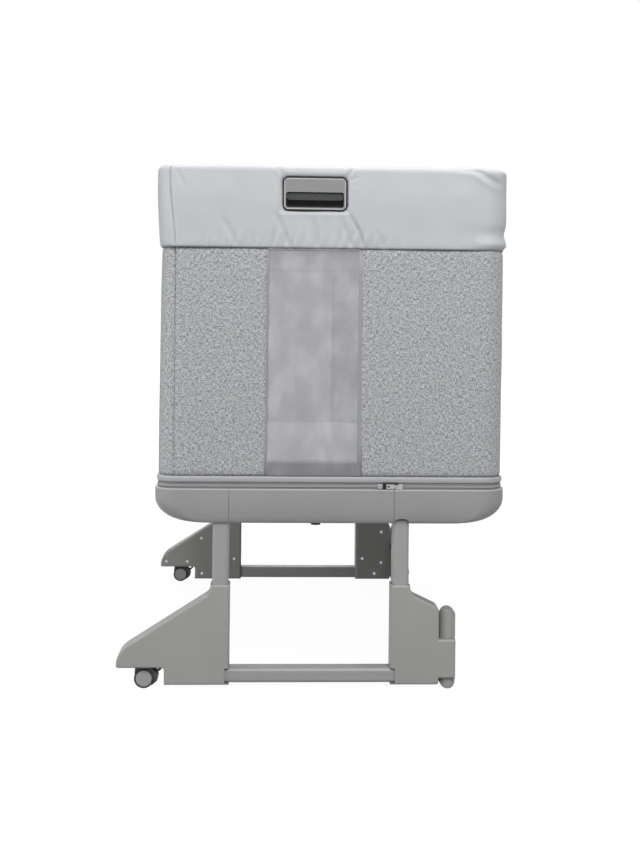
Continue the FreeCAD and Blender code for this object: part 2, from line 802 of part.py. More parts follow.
def build_slider():
    """The zip slider, clear of the teeth that run through it, and its pull."""
    low = "rim_top + 0.5"
    body = block_between(
        "slider_block",
        ("slider_left", "slider_back - slider_depth / 2", low),
        ("stand_x + slider_x + slider_width / 2", "slider_back", "piping_base - 0.5"),
    )
    bail = block_between(
        "slider_bail",
        ("slider_left - 0.5", "slider_back - slider_depth", f"{low} + 2"),
        ("stand_x + slider_x + 1", "slider_back - slider_depth / 2", "piping_base - 2.5"),
    )
    pivot = rod(
        "slider_pivot_bore", "Z", "1 + turn_gap",
        "pull_pivot_x", "pull_pivot_y",
        "rim_top", "zip_height",
    )
    room = block_between(
        "puller_room",
        ("slider_left - 5", "slider_back - slider_depth - 1", f"{low} + 3.5"),
        ("slider_left + 3.5", "slider_back - slider_depth / 2", "piping_base - 4"),
    )
    node("zip_slider", cut("zip_slider", fuse("slider_body", body, bail), pivot, room))
    plate = block_between(
        "puller_plate",
        (
            "pull_pivot_x - puller_length",
            "pull_pivot_y - puller_thickness / 2",
            "rim_top + zip_height / 2 - puller_height / 2",
        ),
        (
            "slider_left - 1.6",
            "pull_pivot_y + puller_thickness / 2",
            "rim_top + zip_height / 2 + puller_height / 2",
        ),
    )
    neck = block_between(
        "puller_neck",
        (
            "slider_left - 3",
            "pull_pivot_y - puller_thickness / 2",
            "rim_top + 4.3",
        ),
        (
            "pull_pivot_x",
            "pull_pivot_y + puller_thickness / 2",
            "piping_base - 4.3",
        ),
    )
    pin = rod(
        "puller_pin", "Z", 1,
        "pull_pivot_x", "pull_pivot_y",
        "rim_top + 2.6", "zip_height - 5.2",
    )
    eye = rod(
        "puller_eye", "Y", 1.6,
        "slider_left - puller_length + 6",
        "near_face - 9", "rim_top + zip_height / 2", 20,
    )
    node("zip_pull", cut("zip_pull", fuse("puller_body", plate, neck, pin), eye))


# ---------------------------------------------------------------- release handles and latch

def build_handles():
    """The release handle in each end of the band, its pin and its latch rod."""
    near_and_far("handle_housing", handle_housing())
    near_and_far("release_lever", release_lever())
    pin = rod(
        "lever_pin", "X", "lever_pin_radius",
        "stand_x - recess_half - 3", "lever_pin_y", "lever_pin_z", "2 * recess_half + 6",
    )
    node("lever_pins", both_ends("lever_pins", pin))
    near_and_far("latch_rod", latch_rod())


def handle_housing():
    """The housing: a rounded bezel round a finger recess, a fixed plate and a saddle on the top tube."""
    block = block_between(
        "housing_block",
        ("stand_x - handle_width / 2", "bezel_face", "bezel_base"),
        ("stand_x + handle_width / 2", "bezel_face + handle_depth", "bezel_top"),
    )
    body = rounded("housing_round", block, "handle_corner", lambda edge: runs_along(edge, "Y"))
    saddle = block_between(
        "housing_saddle",
        ("stand_x - 20", "near_rail_y - tube_radius - 4", "bezel_top - 10"),
        ("stand_x + 20", "near_rail_y", "rail_height"),
    )
    lug = block_between(
        "housing_latch_lug",
        ("stand_x + handle_width / 2 - 12", "bezel_face + handle_depth - 2", "latch_z - 2 * latch_radius"),
        ("stand_x + handle_width / 2", "near_rail_y + 2 * latch_radius", "latch_z + 2 * latch_radius"),
    )
    recess = block_between(
        "finger_recess",
        ("stand_x - recess_half", "bezel_face - 5", "bezel_base + handle_rim"),
        ("stand_x + recess_half", "bezel_face + handle_depth - plate_thickness", "recess_top"),
    )
    recess = rounded("finger_recess_round", recess, "recess_corner", lambda edge: runs_along(edge, "Y"))
    pocket = block_between(
        "lever_pocket",
        ("stand_x - recess_half", "bezel_face + plate_thickness", "recess_top - 8"),
        ("stand_x + recess_half", "bezel_face + handle_depth - plate_thickness", "bezel_top - 8"),
    )
    return cut(
        "near_housing", fuse("housing_body", body, saddle, lug),
        recess, pocket,
        rod(
            "housing_tube_seat", "X", "tube_radius + turn_gap",
            "stand_x - handle_width", "near_rail_y", "rail_height", "handle_width * 2",
        ),
        rod(
            "housing_pin_bore", "X", "lever_pin_radius",
            "stand_x - recess_half - 3", "lever_pin_y", "lever_pin_z", "2 * recess_half + 6",
        ),
        rod(
            "housing_rod_bore", "X", "latch_radius + turn_gap", "stand_x + handle_width / 2 - 35",
            "near_rail_y", "latch_z", 45,
        ),
    )


def release_lever():
    """The bar that the fingers pull, hung from its pin behind the fixed plate."""
    bar = block_between(
        "lever_bar",
        ("stand_x - recess_half + 1", "lever_face", "lever_top - lever_height"),
        ("stand_x + recess_half - 1", "lever_face + lever_thickness", "lever_top"),
    )
    bar = rounded("lever_bar_round", bar, "lever_height / 2 - 0.5", lambda edge: runs_along(edge, "Y"))
    web = block_between(
        "lever_web",
        ("stand_x - recess_half + 12", "lever_pin_y - 1.5", "lever_top - 3"),
        ("stand_x + recess_half - 12", "lever_pin_y + 1.5", "lever_pin_z"),
    )
    barrel = rod(
        "lever_barrel", "X", "lever_pin_radius + 1.9",
        "stand_x - recess_half + 1", "lever_pin_y", "lever_pin_z", "2 * recess_half - 2",
    )
    bore = rod(
        "lever_bore", "X", "lever_pin_radius + turn_gap",
        "stand_x - recess_half - 3", "lever_pin_y", "lever_pin_z", "2 * recess_half + 6",
    )
    return cut("near_lever", fuse("lever_body", bar, web, barrel), bore)


def latch_rod():
    """The rod from the handle to the drop-side sleeve, with a collar that stops it in the handle."""
    bar = rod(
        "latch_bar", "X", "latch_radius",
        "stand_x + handle_width / 2 - 20", "near_rail_y", "latch_z",
        "right_rail_x - sleeve_radius - slide_gap - stand_x - handle_width / 2 + 20",
    )
    collar = rod(
        "latch_collar", "X", "latch_radius * 1.8",
        "stand_x + handle_width / 2 + 8", "near_rail_y", "latch_z", 4,
    )
    return fuse("near_latch", bar, collar)


# ---------------------------------------------------------------- drop side

def build_drop_side():
    """The rail on the bed side and the two brackets that slide on the right uprights."""
    rail = tube(
        "drop_rail", "Y", "tube_radius",
        "right_rail_x", "near_rail_y + fitting_radius + slide_gap + 14", "rail_height",
        "0 - 2 * (near_rail_y + fitting_radius + slide_gap + 14)",
    )
    node("drop_rail", rail)
    sleeve = rod(
        "sleeve_body", "Z", "sleeve_radius", "right_rail_x", "near_rail_y", "sleeve_base", "sleeve_length",
    )
    arm = block_between(
        "bracket_arm",
        ("right_rail_x - 7", "near_rail_y", "sleeve_base"),
        ("right_rail_x + 7", "near_rail_y + bracket_reach", "sleeve_top"),
    )
    riser = block_between(
        "bracket_riser",
        ("right_rail_x - fitting_radius + 0.6", "near_rail_y + fitting_radius + 4", "sleeve_base"),
        (
            "right_rail_x + fitting_radius - 0.6", "near_rail_y + bracket_reach",
            "rail_height + tube_radius + 2.5",
        ),
    )
    bracket = cut(
        "near_bracket", fuse("bracket_body", sleeve, arm, riser),
        rod(
            "sleeve_bore", "Z", "tube_radius + slide_gap", "right_rail_x", "near_rail_y", "sleeve_base - 5",
            "sleeve_length + 10",
        ),
        rod(
            "bracket_seat", "Y", "tube_radius",
            "right_rail_x", "near_rail_y + fitting_radius + slide_gap + 14", "rail_height", "bracket_reach",
        ),
    )
    node("drop_brackets", both_ends("drop_brackets", bracket))


# ---------------------------------------------------------------- stands

def outline_body(label, corners, depth, inward):
    """A body whose outline, seen from the near end, is padded from the stand's middle plane.

    inward is True for the half that faces the crib's middle.
    """
    body = doc.addObject("PartDesign::Body", label)
    sketch = body.newObject("Sketcher::SketchObject", label + "_outline")
    plane = [item for item in body.Origin.OriginFeatures if item.Role == "XZ_Plane"][0]
    sketch.AttachmentSupport = [(plane, "")]
    sketch.MapMode = "FlatFace"
    points = [Vector(number(x), number(z), 0) for x, z in corners]
    count = len(points)
    for index in range(count):
        sketch.addGeometry(Part.LineSegment(points[index], points[(index + 1) % count]), False)
    for index in range(count):
        sketch.addConstraint(Sketcher.Constraint("Coincident", index, 2, (index + 1) % count, 1))
    for index, (x, z) in enumerate(corners):
        for kind, text, level in (("DistanceX", x, points[index].x), ("DistanceY", z, points[index].y)):
            constraint = sketch.addConstraint(Sketcher.Constraint(kind, -1, 1, index, 1, level))
            sketch.setExpression(f"Constraints[{constraint}]", formula(text))
    sketch.setExpression("AttachmentOffset.Base.z", formula("0 - leg_y"))
    pad = body.newObject("PartDesign::Pad", label + "_pad")
    pad.Profile = sketch
    pad.Reversed = inward
    pad.setExpression("Length", formula(depth))
    doc.recompute()
    return body


def round_body(body, label, radius, pick):
    """Rounds the edges of a body that pick accepts."""
    base = body.Tip
    names = [f"Edge{index}" for index, edge in enumerate(base.Shape.Edges, start=1) if pick(edge)]
    fillet = body.newObject("PartDesign::Fillet", label)
    fillet.Base = (base, names)
    fillet.setExpression("Radius", formula(str(radius)))
    doc.recompute()


def at_corner(x, z):
    """Picks the edge across the stand's depth at a corner of the outline."""
    across, up = number(x), number(z)

    def pick(edge):
        if not runs_along(edge, "Y"):
            return False
        point = edge.Vertexes[0].Point
        return abs(point.x - across) < 0.01 and abs(point.z - up) < 0.01

    return pick


LEFT_OUTLINE = [
    ("left_post_x + neck_half", "leg_base", 0),
    ("left_post_x + neck_half", "neck_height", 0),
    ("left_post_x - neck_half", "neck_height", 0),
    ("left_post_x - neck_half", "toe_neck", "neck_round"),
    ("left_post_x - toe_reach", "toe_shoulder", "toe_round"),
    ("left_post_x - toe_reach", "toe_height", "toe_tip_round"),
    ("left_post_x - heel_reach", "toe_height", "heel_round"),
    ("left_post_x - heel_reach", "leg_base", 0),
]
RIGHT_OUTLINE = [
    ("right_post_x - neck_half", "leg_base", 0),
    ("right_post_x - neck_half", "neck_height", 0),
    ("right_post_x + neck_half", "neck_height", 0),
    ("right_post_x + neck_half", "bed_neck", "neck_round"),
    ("right_post_x + bed_reach", "bed_shoulder", "bed_round"),
    ("right_post_x + bed_reach", "cheek_high", 0),
    ("right_post_x + cheek_reach", "cheek_high", 0),
    ("right_post_x + cheek_reach", "cheek_low", 0),
    ("right_post_x + bed_reach", "cheek_low", 0),
    ("right_post_x + bed_reach", "leg_base", "bed_base_round"),
]

# Screws seen on the inner halves: distance outward from the post, height, and whether the screw is a
# long one into the outer half. The short ones sit beside the post's path.
LEFT_SCREWS = [(83, 111, True), (171, 52, True), (0, 59, False), (118, 52, True), (81, 22, True)]
RIGHT_SCREWS = [(48, 128, True), (0, 60.7, False), (47.7, 50.5, True), (30.9, 22.6, True)]


def leg_half(side, outline, screws, inward):
    """One half of a leg housing: a moulded cover, hollow, with screw bosses and its openings."""
    half = "back" if inward else "cover"
    name = f"{side}_leg_{half}"
    outer_face = number("leg_y + leg_half_depth" if inward else "leg_y - leg_half_depth")
    body = outline_body(name + "_body", [point[:2] for point in outline], "leg_half_depth", inward)
    for index, (x, z, radius) in enumerate(outline):
        if radius:
            round_body(body, f"{name}_corner_{index}", radius, at_corner(x, z))
    round_body(body, name + "_edge", "leg_edge", lambda edge: lies_at(edge, "Y", outer_face))
    bosses = screw_bosses(name, side, screws, inward)
    hollow = cut(name + "_hollow", leg_hollow(name, body, inward), *leg_ribs(name, side), *bosses)
    half_piece = cut(
        name, body, hollow, *leg_openings(name, side), *screw_bores(name, side, screws, inward),
    )
    near_and_far(name, half_piece)


def leg_hollow(name, body, inward):
    """The hollow of a housing half: its outline drawn in by the wall, up to the outer wall."""
    middle = number("leg_y")
    faces = []
    for face in body.Shape.Faces:
        spread = abs(face.BoundBox.YMin - middle) + abs(face.BoundBox.YMax - middle)
        if spread < 1e-4:
            faces.append(face)
    outline = faces[0].makeOffset2D(-number("leg_wall"))
    depth = number("leg_half_depth - leg_wall")
    return shape_piece(name + "_core", outline.extrude(Vector(0, depth if inward else -depth, 0)))


def leg_ribs(name, side):
    """What stays solid inside a housing: the post's outer guide and the seat of the caster or the foot."""
    sign = "-" if side == "left" else "+"
    inner = f"{side}_post_x {sign} (post_width / 2 + slide_gap)"
    outer = f"{side}_post_x {sign} neck_half"
    low, high = (outer, inner) if side == "left" else (inner, outer)
    guide = block_between(
        name + "_guide",
        (low, "leg_y - leg_half_depth", "post_base - 40"),
        (high, "leg_y + leg_half_depth", "neck_height"),
    )
    if side == "left":
        seat = rod(
            name + "_stem_boss", "Z", "stem_radius * 2.2", "stem_x", "leg_y", "toe_height",
            "stem_length + 2",
        )
    else:
        seat = block_between(
            name + "_cheek",
            ("right_post_x + bed_reach - leg_wall", "leg_y - leg_half_depth", "leg_base"),
            ("right_post_x + cheek_reach + 5", "leg_y + leg_half_depth", "cheek_high + 5"),
        )
    return [guide, seat]


def leg_openings(name, side):
    """What is cut through a housing: the neck, the crossbar's entry, and the caster's or foot's bore."""
    sign = 1 if side == "left" else -1
    inner_face = f"{side}_post_x + {sign} * neck_half"
    cuts = [
        block_between(
            name + "_neck",
            (
                f"{side}_post_x - post_width / 2 - slide_gap", "leg_y - post_depth / 2 - slide_gap",
                "neck_height - 12",
            ),
            (
                f"{side}_post_x + post_width / 2 + slide_gap", "leg_y + post_depth / 2 + slide_gap",
                "neck_height + 5",
            ),
        ),
        span_block(
            name + "_bar_entry", f"{inner_face} - {sign} * (leg_wall + 1)", f"{inner_face} + {sign} * 5",
            "bar_depth / 2 + slide_gap", "bar_depth / 2 + slide_gap", sign,
        ),
        span_block(
            name + "_bar_notch", f"{inner_face} - {sign} * bar_notch", f"{inner_face} + {sign} * 5",
            "leg_half_depth + 5", "0", sign,
        ),
    ]
    if side == "left":
        cuts.append(
            rod(
                name + "_stem_bore", "Z", "stem_radius + turn_gap", "stem_x", "leg_y", "toe_height - 5",
                "stem_length + 5.5",
            ),
        )
        return cuts
    cuts.append(
        rod(name + "_pin_bore", "Z", "foot_pin_radius + turn_gap", "foot_x", "leg_y", 5, "cheek_high + 10"),
    )
    cuts.append(
        block_between(
            name + "_keyway",
            ("button_face - 1", "leg_y - button_width / 2 - 1", "post_base - 45"),
            ("button_face + button_proud + leg_wall", "leg_y + button_width / 2 + 1", "neck_height + 5"),
        ),
    )
    return cuts


def span_block(name, inner_x, outer_x, near_depth, far_depth, sign):
    """A cut round the crossbar's section between two places along it."""
    low, high = (inner_x, outer_x) if sign > 0 else (outer_x, inner_x)
    return block_between(
        name,
        (low, f"leg_y - ({near_depth})", "bar_base - slide_gap"),
        (high, f"leg_y + ({far_depth})", "bar_base + bar_height + slide_gap"),
    )


def screw_x(side, reach):
    """A screw's place across the stand."""
    return f"{side}_post_x {'-' if side == 'left' else '+'} {reach}"


def screw_bosses(name, side, screws, inward):
    """Solid bosses round the long screws."""
    start = "leg_y" if inward else "leg_y - leg_half_depth"
    return [
        rod(
            f"{name}_boss_{index}", "Y", "screw_radius * 3.2", screw_x(side, reach), start, height,
            "leg_half_depth",
        )
        for index, (reach, height, long) in enumerate(screws) if long
    ]


def screw_bores(name, side, screws, inward):
    """Shank bores and, in the inner half, the recesses of the heads."""
    bores = []
    for index, (reach, height, long) in enumerate(screws):
        x = screw_x(side, reach)
        length = "2 * leg_half_depth - leg_wall" if long else "leg_wall + 1"
        start = f"leg_y + leg_half_depth - ({length})"
        bores.append(rod(f"{name}_bore_{index}", "Y", "screw_radius", x, start, height, f"({length}) + 5"))
        if inward:
            bores.append(
                rod(
                    f"{name}_sink_{index}", "Y", "screw_head + 0.4", x, "leg_y + leg_half_depth - 1.2",
                    height, 5,
                ),
            )
    return bores


def leg_screws(side, screws):
    """The screws that close a housing, heads towards the crib's middle."""
    pieces = []
    for index, (reach, height, long) in enumerate(screws):
        x = screw_x(side, reach)
        length = "2 * leg_half_depth - leg_wall - 1" if long else "leg_wall"
        start = f"leg_y + leg_half_depth - 1.2 - ({length}) + 1.2"
        shank = rod(f"{side}_screw_{index}_shank", "Y", "screw_radius", x, start, height, f"{length} - 0.6")
        head = rod(
            f"{side}_screw_{index}_head", "Y", "screw_head", x, "leg_y + leg_half_depth - 1.2", height, 1,
        )
        slot = box(
            f"{side}_screw_{index}_slot",
            f"{x} - 3.5", "leg_y + leg_half_depth - 0.8", f"{height} - 0.5", 7, 2, 1,
        )
        pieces.append(cut(f"{side}_screw_{index}", fuse(f"{side}_screw_{index}_body", shank, head), slot))
    return pieces


def build_stands():
    """Both stands: the housings, their crossbar and screws, the fold-out foot and the caster."""
    for inward in (False, True):
        leg_half("left", LEFT_OUTLINE, LEFT_SCREWS, inward)
        leg_half("right", RIGHT_OUTLINE, RIGHT_SCREWS, inward)
    near_and_far("crossbar", crossbar())
    screws = leg_screws("left", LEFT_SCREWS) + leg_screws("right", RIGHT_SCREWS)
    near_and_far("leg_screws", group("near_screw_set", *screws))
    near_and_far("fold_foot", fold_foot())
    pin = rod("foot_pin_bar", "Z", "foot_pin_radius", "foot_x", "leg_y", 6, "foot_height - 26")
    near_and_far("foot_pin", pin)
    build_caster()
    build_posts()


def crossbar():
    """The rounded tube between the two housings of a stand."""
    half = "post_spacing / 2 - neck_half + bar_entry"
    bar = block_between(
        "bar_block",
        (f"stand_x - ({half})", "leg_y - bar_depth / 2", "bar_base"),
        (f"stand_x + ({half})", "leg_y + bar_depth / 2", "bar_base + bar_height"),
    )
    bar = rounded("bar_round", bar, "bar_edge", lambda edge: runs_along(edge, "X"))
    hollow = block_between(
        "bar_hollow",
        (f"stand_x - ({half}) - 5", "leg_y - bar_depth / 2 + post_wall", "bar_base + post_wall"),
        (
            f"stand_x + ({half}) + 5", "leg_y + bar_depth / 2 - post_wall",
            "bar_base + bar_height - post_wall",
        ),
    )
    hollow = rounded("bar_hollow_round", hollow, "bar_edge - post_wall", lambda edge: runs_along(edge, "X"))
    room = [
        rod(
            f"bar_screw_room_{side}", "Y", "screw_radius * 4", screw_x(side, reach), "leg_y - 30", height,
            60,
        )
        for side, screws in (("left", LEFT_SCREWS), ("right", RIGHT_SCREWS))
        for reach, height, long in screws if long
    ]
    return cut("near_bar", bar, hollow, *room)


def fold_foot():
    """The fold-out foot: an upright oval bar, notched round the cheek so that it can swing out."""
    half = "foot_width / 2"
    centre = "foot_height - foot_width / 2"
    low_centre = "foot_width / 2 - foot_flat"
    start = f"leg_y - {half}"
    length = f"foot_length + {half}"
    middle = box(
        "foot_middle", f"foot_x - {half}", start, low_centre,
        "foot_width", length, f"{centre} - ({low_centre})",
    )
    oval = fuse(
        "foot_oval", middle,
        rod("foot_top", "Y", half, "foot_x", start, centre, length),
        rod("foot_bottom", "Y", half, "foot_x", start, low_centre, length),
    )
    kept = fuse(
        "foot_plan",
        rod("foot_nose", "Z", half, "foot_x", "leg_y", 0, "foot_height + 5"),
        box("foot_run", f"foot_x - {half}", "leg_y", 0, "foot_width", "foot_length + 5", "foot_height + 5"),
    )
    swing = rod(
        "foot_swing", "Z", "leg_half_depth * 1.32", "foot_x", "leg_y", "cheek_low - foot_gap",
        "cheek_high - cheek_low + 2 * foot_gap",
    )
    bore = rod("foot_pin_seat", "Z", "foot_pin_radius", "foot_x", "leg_y", 6, "foot_height - 26")
    sweep = rod(
        "foot_top_sweep", "X", "foot_sweep", f"foot_x - {half} - 5", "leg_y + foot_length",
        "foot_tip_height + foot_sweep", "foot_width + 10",
    )
    arm = cut("foot_arm", common("foot_outline", oval, kept), sweep)
    tip = number("leg_y + foot_length")
    crest = number("foot_tip_height")
    arm = rounded(
        "foot_arm_round", arm, "foot_round",
        lambda edge: runs_along(edge, "X") and lies_at(edge, "Y", tip) and lies_at(edge, "Z", crest),
    )
    plan = rod("foot_column_plan", "Z", half, "foot_x", "leg_y", 0, "foot_height + 5")
    column = common("foot_column", oval, plan)
    shape = fuse("foot_shape", arm, column)
    return cut("near_foot", shape, swing, bore)


def build_posts():
    """The four telescopic posts under the tray and the sprung buttons in the bed-side ones."""
    posts = []
    for side in ("left", "right"):
        outer = block_between(
            f"{side}_post_block_outer",
            (f"{side}_post_x - post_width / 2", "leg_y - post_depth / 2", "post_base"),
            (f"{side}_post_x + post_width / 2", "leg_y + post_depth / 2", "post_top"),
        )
        outer = rounded(f"{side}_post_round", outer, "post_corner", lambda edge: runs_along(edge, "Z"))
        inner = block_between(
            f"{side}_post_block_inner",
            (
                f"{side}_post_x - post_width / 2 + post_wall", "leg_y - post_depth / 2 + post_wall",
                "post_base - 5",
            ),
            (
                f"{side}_post_x + post_width / 2 - post_wall", "leg_y + post_depth / 2 - post_wall",
                "post_top + 5",
            ),
        )
        inner = rounded(
            f"{side}_post_bore", inner, "post_corner - post_wall", lambda edge: runs_along(edge, "Z"),
        )
        tools = [inner]
        if side == "right":
            tools.append(
                block_between(
                    "button_window",
                    (
                        "button_face - post_wall - 1", "leg_y - button_width / 2 - slide_gap",
                        "button_base - slide_gap",
                    ),
                    (
                        "button_face + 1",
                        "leg_y + button_width / 2 + slide_gap",
                        "button_base + button_height + slide_gap",
                    ),
                ),
            )
        posts.append(cut(f"{side}_post", outer, *tools))
    node("height_posts", both_ends("height_posts", group("near_posts", *posts)))
    near_and_far("height_button", height_button())


def height_button():
    """The wedge that stands out of the post's bed side, with the flange that holds it in."""
    flange = block_between(
        "button_flange",
        ("button_face - post_wall - 2.5", "leg_y - button_width / 2 - 2", "button_base - 4"),
        (
            "button_face - post_wall - slide_gap", "leg_y + button_width / 2 + 2",
            "button_base + button_height + 4",
        ),
    )
    x0, x1 = number("button_face - post_wall - 1"), number("button_face")
    x2 = number("button_face + button_proud")
    z0, z1 = number("button_base"), number("button_base + button_height")
    y = number("leg_y - button_width / 2")
    profile = [(x0, z0), (x2, z0), (x2, z0 + 3), (x1, z1), (x0, z1)]
    points = [Vector(x, y, z) for x, z in profile]
    face = Part.Face(Part.makePolygon(points + points[:1]))
    wedge = shape_piece("button_wedge", face.extrude(Vector(0, number("button_width"), 0)))
    return fuse("near_button", flange, wedge)


# ---------------------------------------------------------------- casters

def build_caster():
    """A twin-wheel caster: body with stem, axle, wheels and brake pedal."""
    near_and_far("caster_body", caster_body())
    width = "web_thickness / 2 + web_gap + wheel_width"
    near_and_far(
        "caster_axle",
        rod(
            "caster_axle_bar", "Y", "axle_radius", "axle_x", f"leg_y - ({width}) + 1", "wheel_radius",
            f"2 * ({width}) - 2",
        ),
    )
    near_and_far("caster_wheels", caster_wheels())
    near_and_far("brake_pedal", brake_pedal())


def caster_body():
    """The hood over the wheels, the web between them and the stem."""
    x, z = number("axle_x"), number("wheel_radius")
    top = number("toe_height") - 0.5
    outline = [
        (-17, z + 3), (-15.5, top), (12, top), (22.5, z + 11), (25.5, z + 2), (24, z - 4), (14, z - 12.5),
        (-3, z - 5),
    ]
    width = number("web_thickness + 2 * web_gap + 2 * wheel_width")
    y = number("leg_y") - width / 2
    points = [Vector(x + dx, y, height) for dx, height in outline]
    face = Part.Face(Part.makePolygon(points + points[:1]))
    form = shape_piece("hood_form", face.extrude(Vector(0, width, 0)))
    well = "wheel_radius + 0.7"
    near_start = f"leg_y - {width / 2 + 5}"
    wells = [
        rod(
            "near_wheel_well", "Y", well, "axle_x", near_start, "wheel_radius",
            f"{width / 2 + 5} - web_thickness / 2",
        ),
        rod(
            "far_wheel_well", "Y", well, "axle_x", "leg_y + web_thickness / 2", "wheel_radius",
            "wheel_width + 10",
        ),
    ]
    stem = rod("caster_stem", "Z", "stem_radius", "stem_x", "leg_y", "toe_height - 3", "stem_length + 3")
    pedal_room = block_between(
        "pedal_room",
        ("axle_x + 15.5", "leg_y - 5.5", "wheel_radius + 4.5"),
        ("axle_x + 40", "leg_y + 5.5", "wheel_radius + 40"),
    )
    axle_bore = rod("body_axle_bore", "Y", "axle_radius", "axle_x", "leg_y - 30", "wheel_radius", 60)
    return cut(
        "near_caster_shape", fuse("caster_solid", form, stem), *wells, pedal_room, axle_bore,
        pedal_pin("body_pedal_bore", "1.5"),
    )


def pedal_pin(name, radius):
    """The brake pedal's pivot across the caster body."""
    return rod(name, "Y", radius, "axle_x + 19.5", "leg_y - 8", "wheel_radius + 8.2", 16)


def caster_wheels():
    """Two wheels on one axle, each with a raised tread and a dished cap."""
    wheels = []
    for name, sign in (("outer", -1), ("inner", 1)):
        start = "leg_y + web_thickness / 2 + web_gap"
        if sign < 0:
            start = "leg_y - web_thickness / 2 - web_gap - wheel_width"
        disc = rod(f"{name}_disc", "Y", "wheel_radius", "axle_x", start, "wheel_radius", "wheel_width")
        disc = rounded(f"{name}_tread", disc, "1.6", lambda edge: not runs_along(edge, "Y"))
        rim_y = f"{start} - 1" if sign < 0 else f"{start} + wheel_width - 0.8"
        ring = cut(
            f"{name}_groove",
            rod(f"{name}_groove_outside", "Y", "wheel_radius - 3", "axle_x", rim_y, "wheel_radius", "1.8"),
            rod(f"{name}_groove_inside", "Y", "wheel_radius - 3.6", "axle_x", rim_y, "wheel_radius", "1.8"),
        )
        bore_y = f"{start} + 1 - turn_gap" if sign < 0 else f"{start} - 1"
        bore = rod(
            f"{name}_axle_bore", "Y", "axle_radius + turn_gap", "axle_x", bore_y, "wheel_radius",
            "wheel_width + 2 * turn_gap",
        )
        wheels.append(cut(f"{name}_wheel", disc, ring, bore))
    return group("near_wheel_pair", *wheels)


def brake_pedal():
    """The small pedal at the back of the caster body."""
    x, z = number("axle_x"), number("wheel_radius")
    outline = [(18, z + 6.8), (21.5, z + 7.2), (31.5, z + 15.3), (30, z + 17.6), (18.5, z + 10.6)]
    points = [Vector(x + dx, number("leg_y") - 5, height) for dx, height in outline]
    face = Part.Face(Part.makePolygon(points + points[:1]))
    plate = shape_piece("pedal_plate", face.extrude(Vector(0, 10, 0)))
    return fuse("near_pedal", plate, pedal_pin("pedal_pin", "1.5 - turn_gap"))


# ---------------------------------------------------------------- the crib

build_tray()
build_bed()
build_frame()
build_walls()
build_bands()
build_edging()
build_handles()
build_drop_side()
build_stands()
doc.recompute()

for thing in doc.Objects:
    if {"Invalid", "Error"} & set(thing.State):
        raise RuntimeError(f"{thing.Label} did not build: {thing.State}")

for label, piece in NODES:
    if piece.Shape.isNull() or not piece.Shape.isValid() or not piece.Shape.Solids:
        raise RuntimeError(f"{label} has no valid solid")

os.makedirs("parts", exist_ok=True)
for label, piece in NODES:
    piece.Shape.exportStep(f"parts/{label}.step")
print(len(NODES), "nodes written")
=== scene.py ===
"""A bedside sleeper crib: fabric basin with a padded band, on two telescopic leg stands.

Metres. +X is the bed side, +Y runs along the crib away from the near end, +Z is up.
"""
import math

import bmesh
import bpy
import numpy as np
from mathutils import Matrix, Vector


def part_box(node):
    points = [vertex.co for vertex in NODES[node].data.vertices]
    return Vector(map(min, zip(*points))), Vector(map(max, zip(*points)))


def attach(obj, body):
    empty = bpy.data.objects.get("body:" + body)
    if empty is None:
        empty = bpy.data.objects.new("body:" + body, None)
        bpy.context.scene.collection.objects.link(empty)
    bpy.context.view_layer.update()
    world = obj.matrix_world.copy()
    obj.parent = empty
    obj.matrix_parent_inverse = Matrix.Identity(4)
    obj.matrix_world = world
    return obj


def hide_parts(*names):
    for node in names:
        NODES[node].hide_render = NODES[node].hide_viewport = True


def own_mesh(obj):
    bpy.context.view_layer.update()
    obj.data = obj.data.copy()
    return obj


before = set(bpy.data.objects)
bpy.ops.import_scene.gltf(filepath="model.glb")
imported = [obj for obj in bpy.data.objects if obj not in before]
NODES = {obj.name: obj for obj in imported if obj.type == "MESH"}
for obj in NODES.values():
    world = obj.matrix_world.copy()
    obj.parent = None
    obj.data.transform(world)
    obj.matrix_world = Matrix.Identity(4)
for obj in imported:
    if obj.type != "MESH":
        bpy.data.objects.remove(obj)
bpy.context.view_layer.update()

PI = math.pi
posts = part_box("height_posts")
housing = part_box("near_handle_housing")
BEZEL = (housing[0].x, housing[1].x, housing[0].z, 0.920)
STAND = (posts[0].x + posts[1].x) / 2
left_box, right_box, near_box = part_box("left_band"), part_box("right_band"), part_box("near_band")
LEFT, RIGHT = left_box[0].x, right_box[1].x
INNER_LEFT, INNER_RIGHT = left_box[1].x, right_box[0].x
NEAR, INNER_NEAR = near_box[0].y, near_box[1].y

# ---------------------------------------------------------------- surfaces


def smooth_step(a, b, x):
    """0 below a, 1 above b, and 3t^2 - 2t^3 between them."""
    t = np.clip((x - a) / (b - a), 0, 1)
    return t * t * (3 - 2 * t)


def bell(x, width):
    """A bump of height 1 at x = 0: exp(-(x / width)^2)."""
    return np.exp(-(x / width) ** 2)


def wander(x, seed, scale):
    """A smooth wander along x between about -1 and 1: five sines of unrelated lengths and phases."""
    r = np.random.default_rng(seed)
    total = np.zeros_like(x, dtype=float)
    for k in range(5):
        total = total + np.sin(x / scale * (0.6 + 0.9 * k + 0.4 * r.random()) + 6.28 * r.random()) / (1 + 0.6 * k)
    return total / 2.0


def grid_faces(rows, cols, close_rows=False, close_cols=False):
    """Quads of a rows by cols grid of points, in order, with the last row or column joined to the first if closed."""
    i = np.arange(rows if close_rows else rows - 1)
    j = np.arange(cols if close_cols else cols - 1)
    i, j = np.meshgrid(i, j, indexing="ij")
    n, m = (i + 1) % rows, (j + 1) % cols
    return np.stack([i * cols + j, n * cols + j, n * cols + m, i * cols + m], -1).reshape(-1, 4)


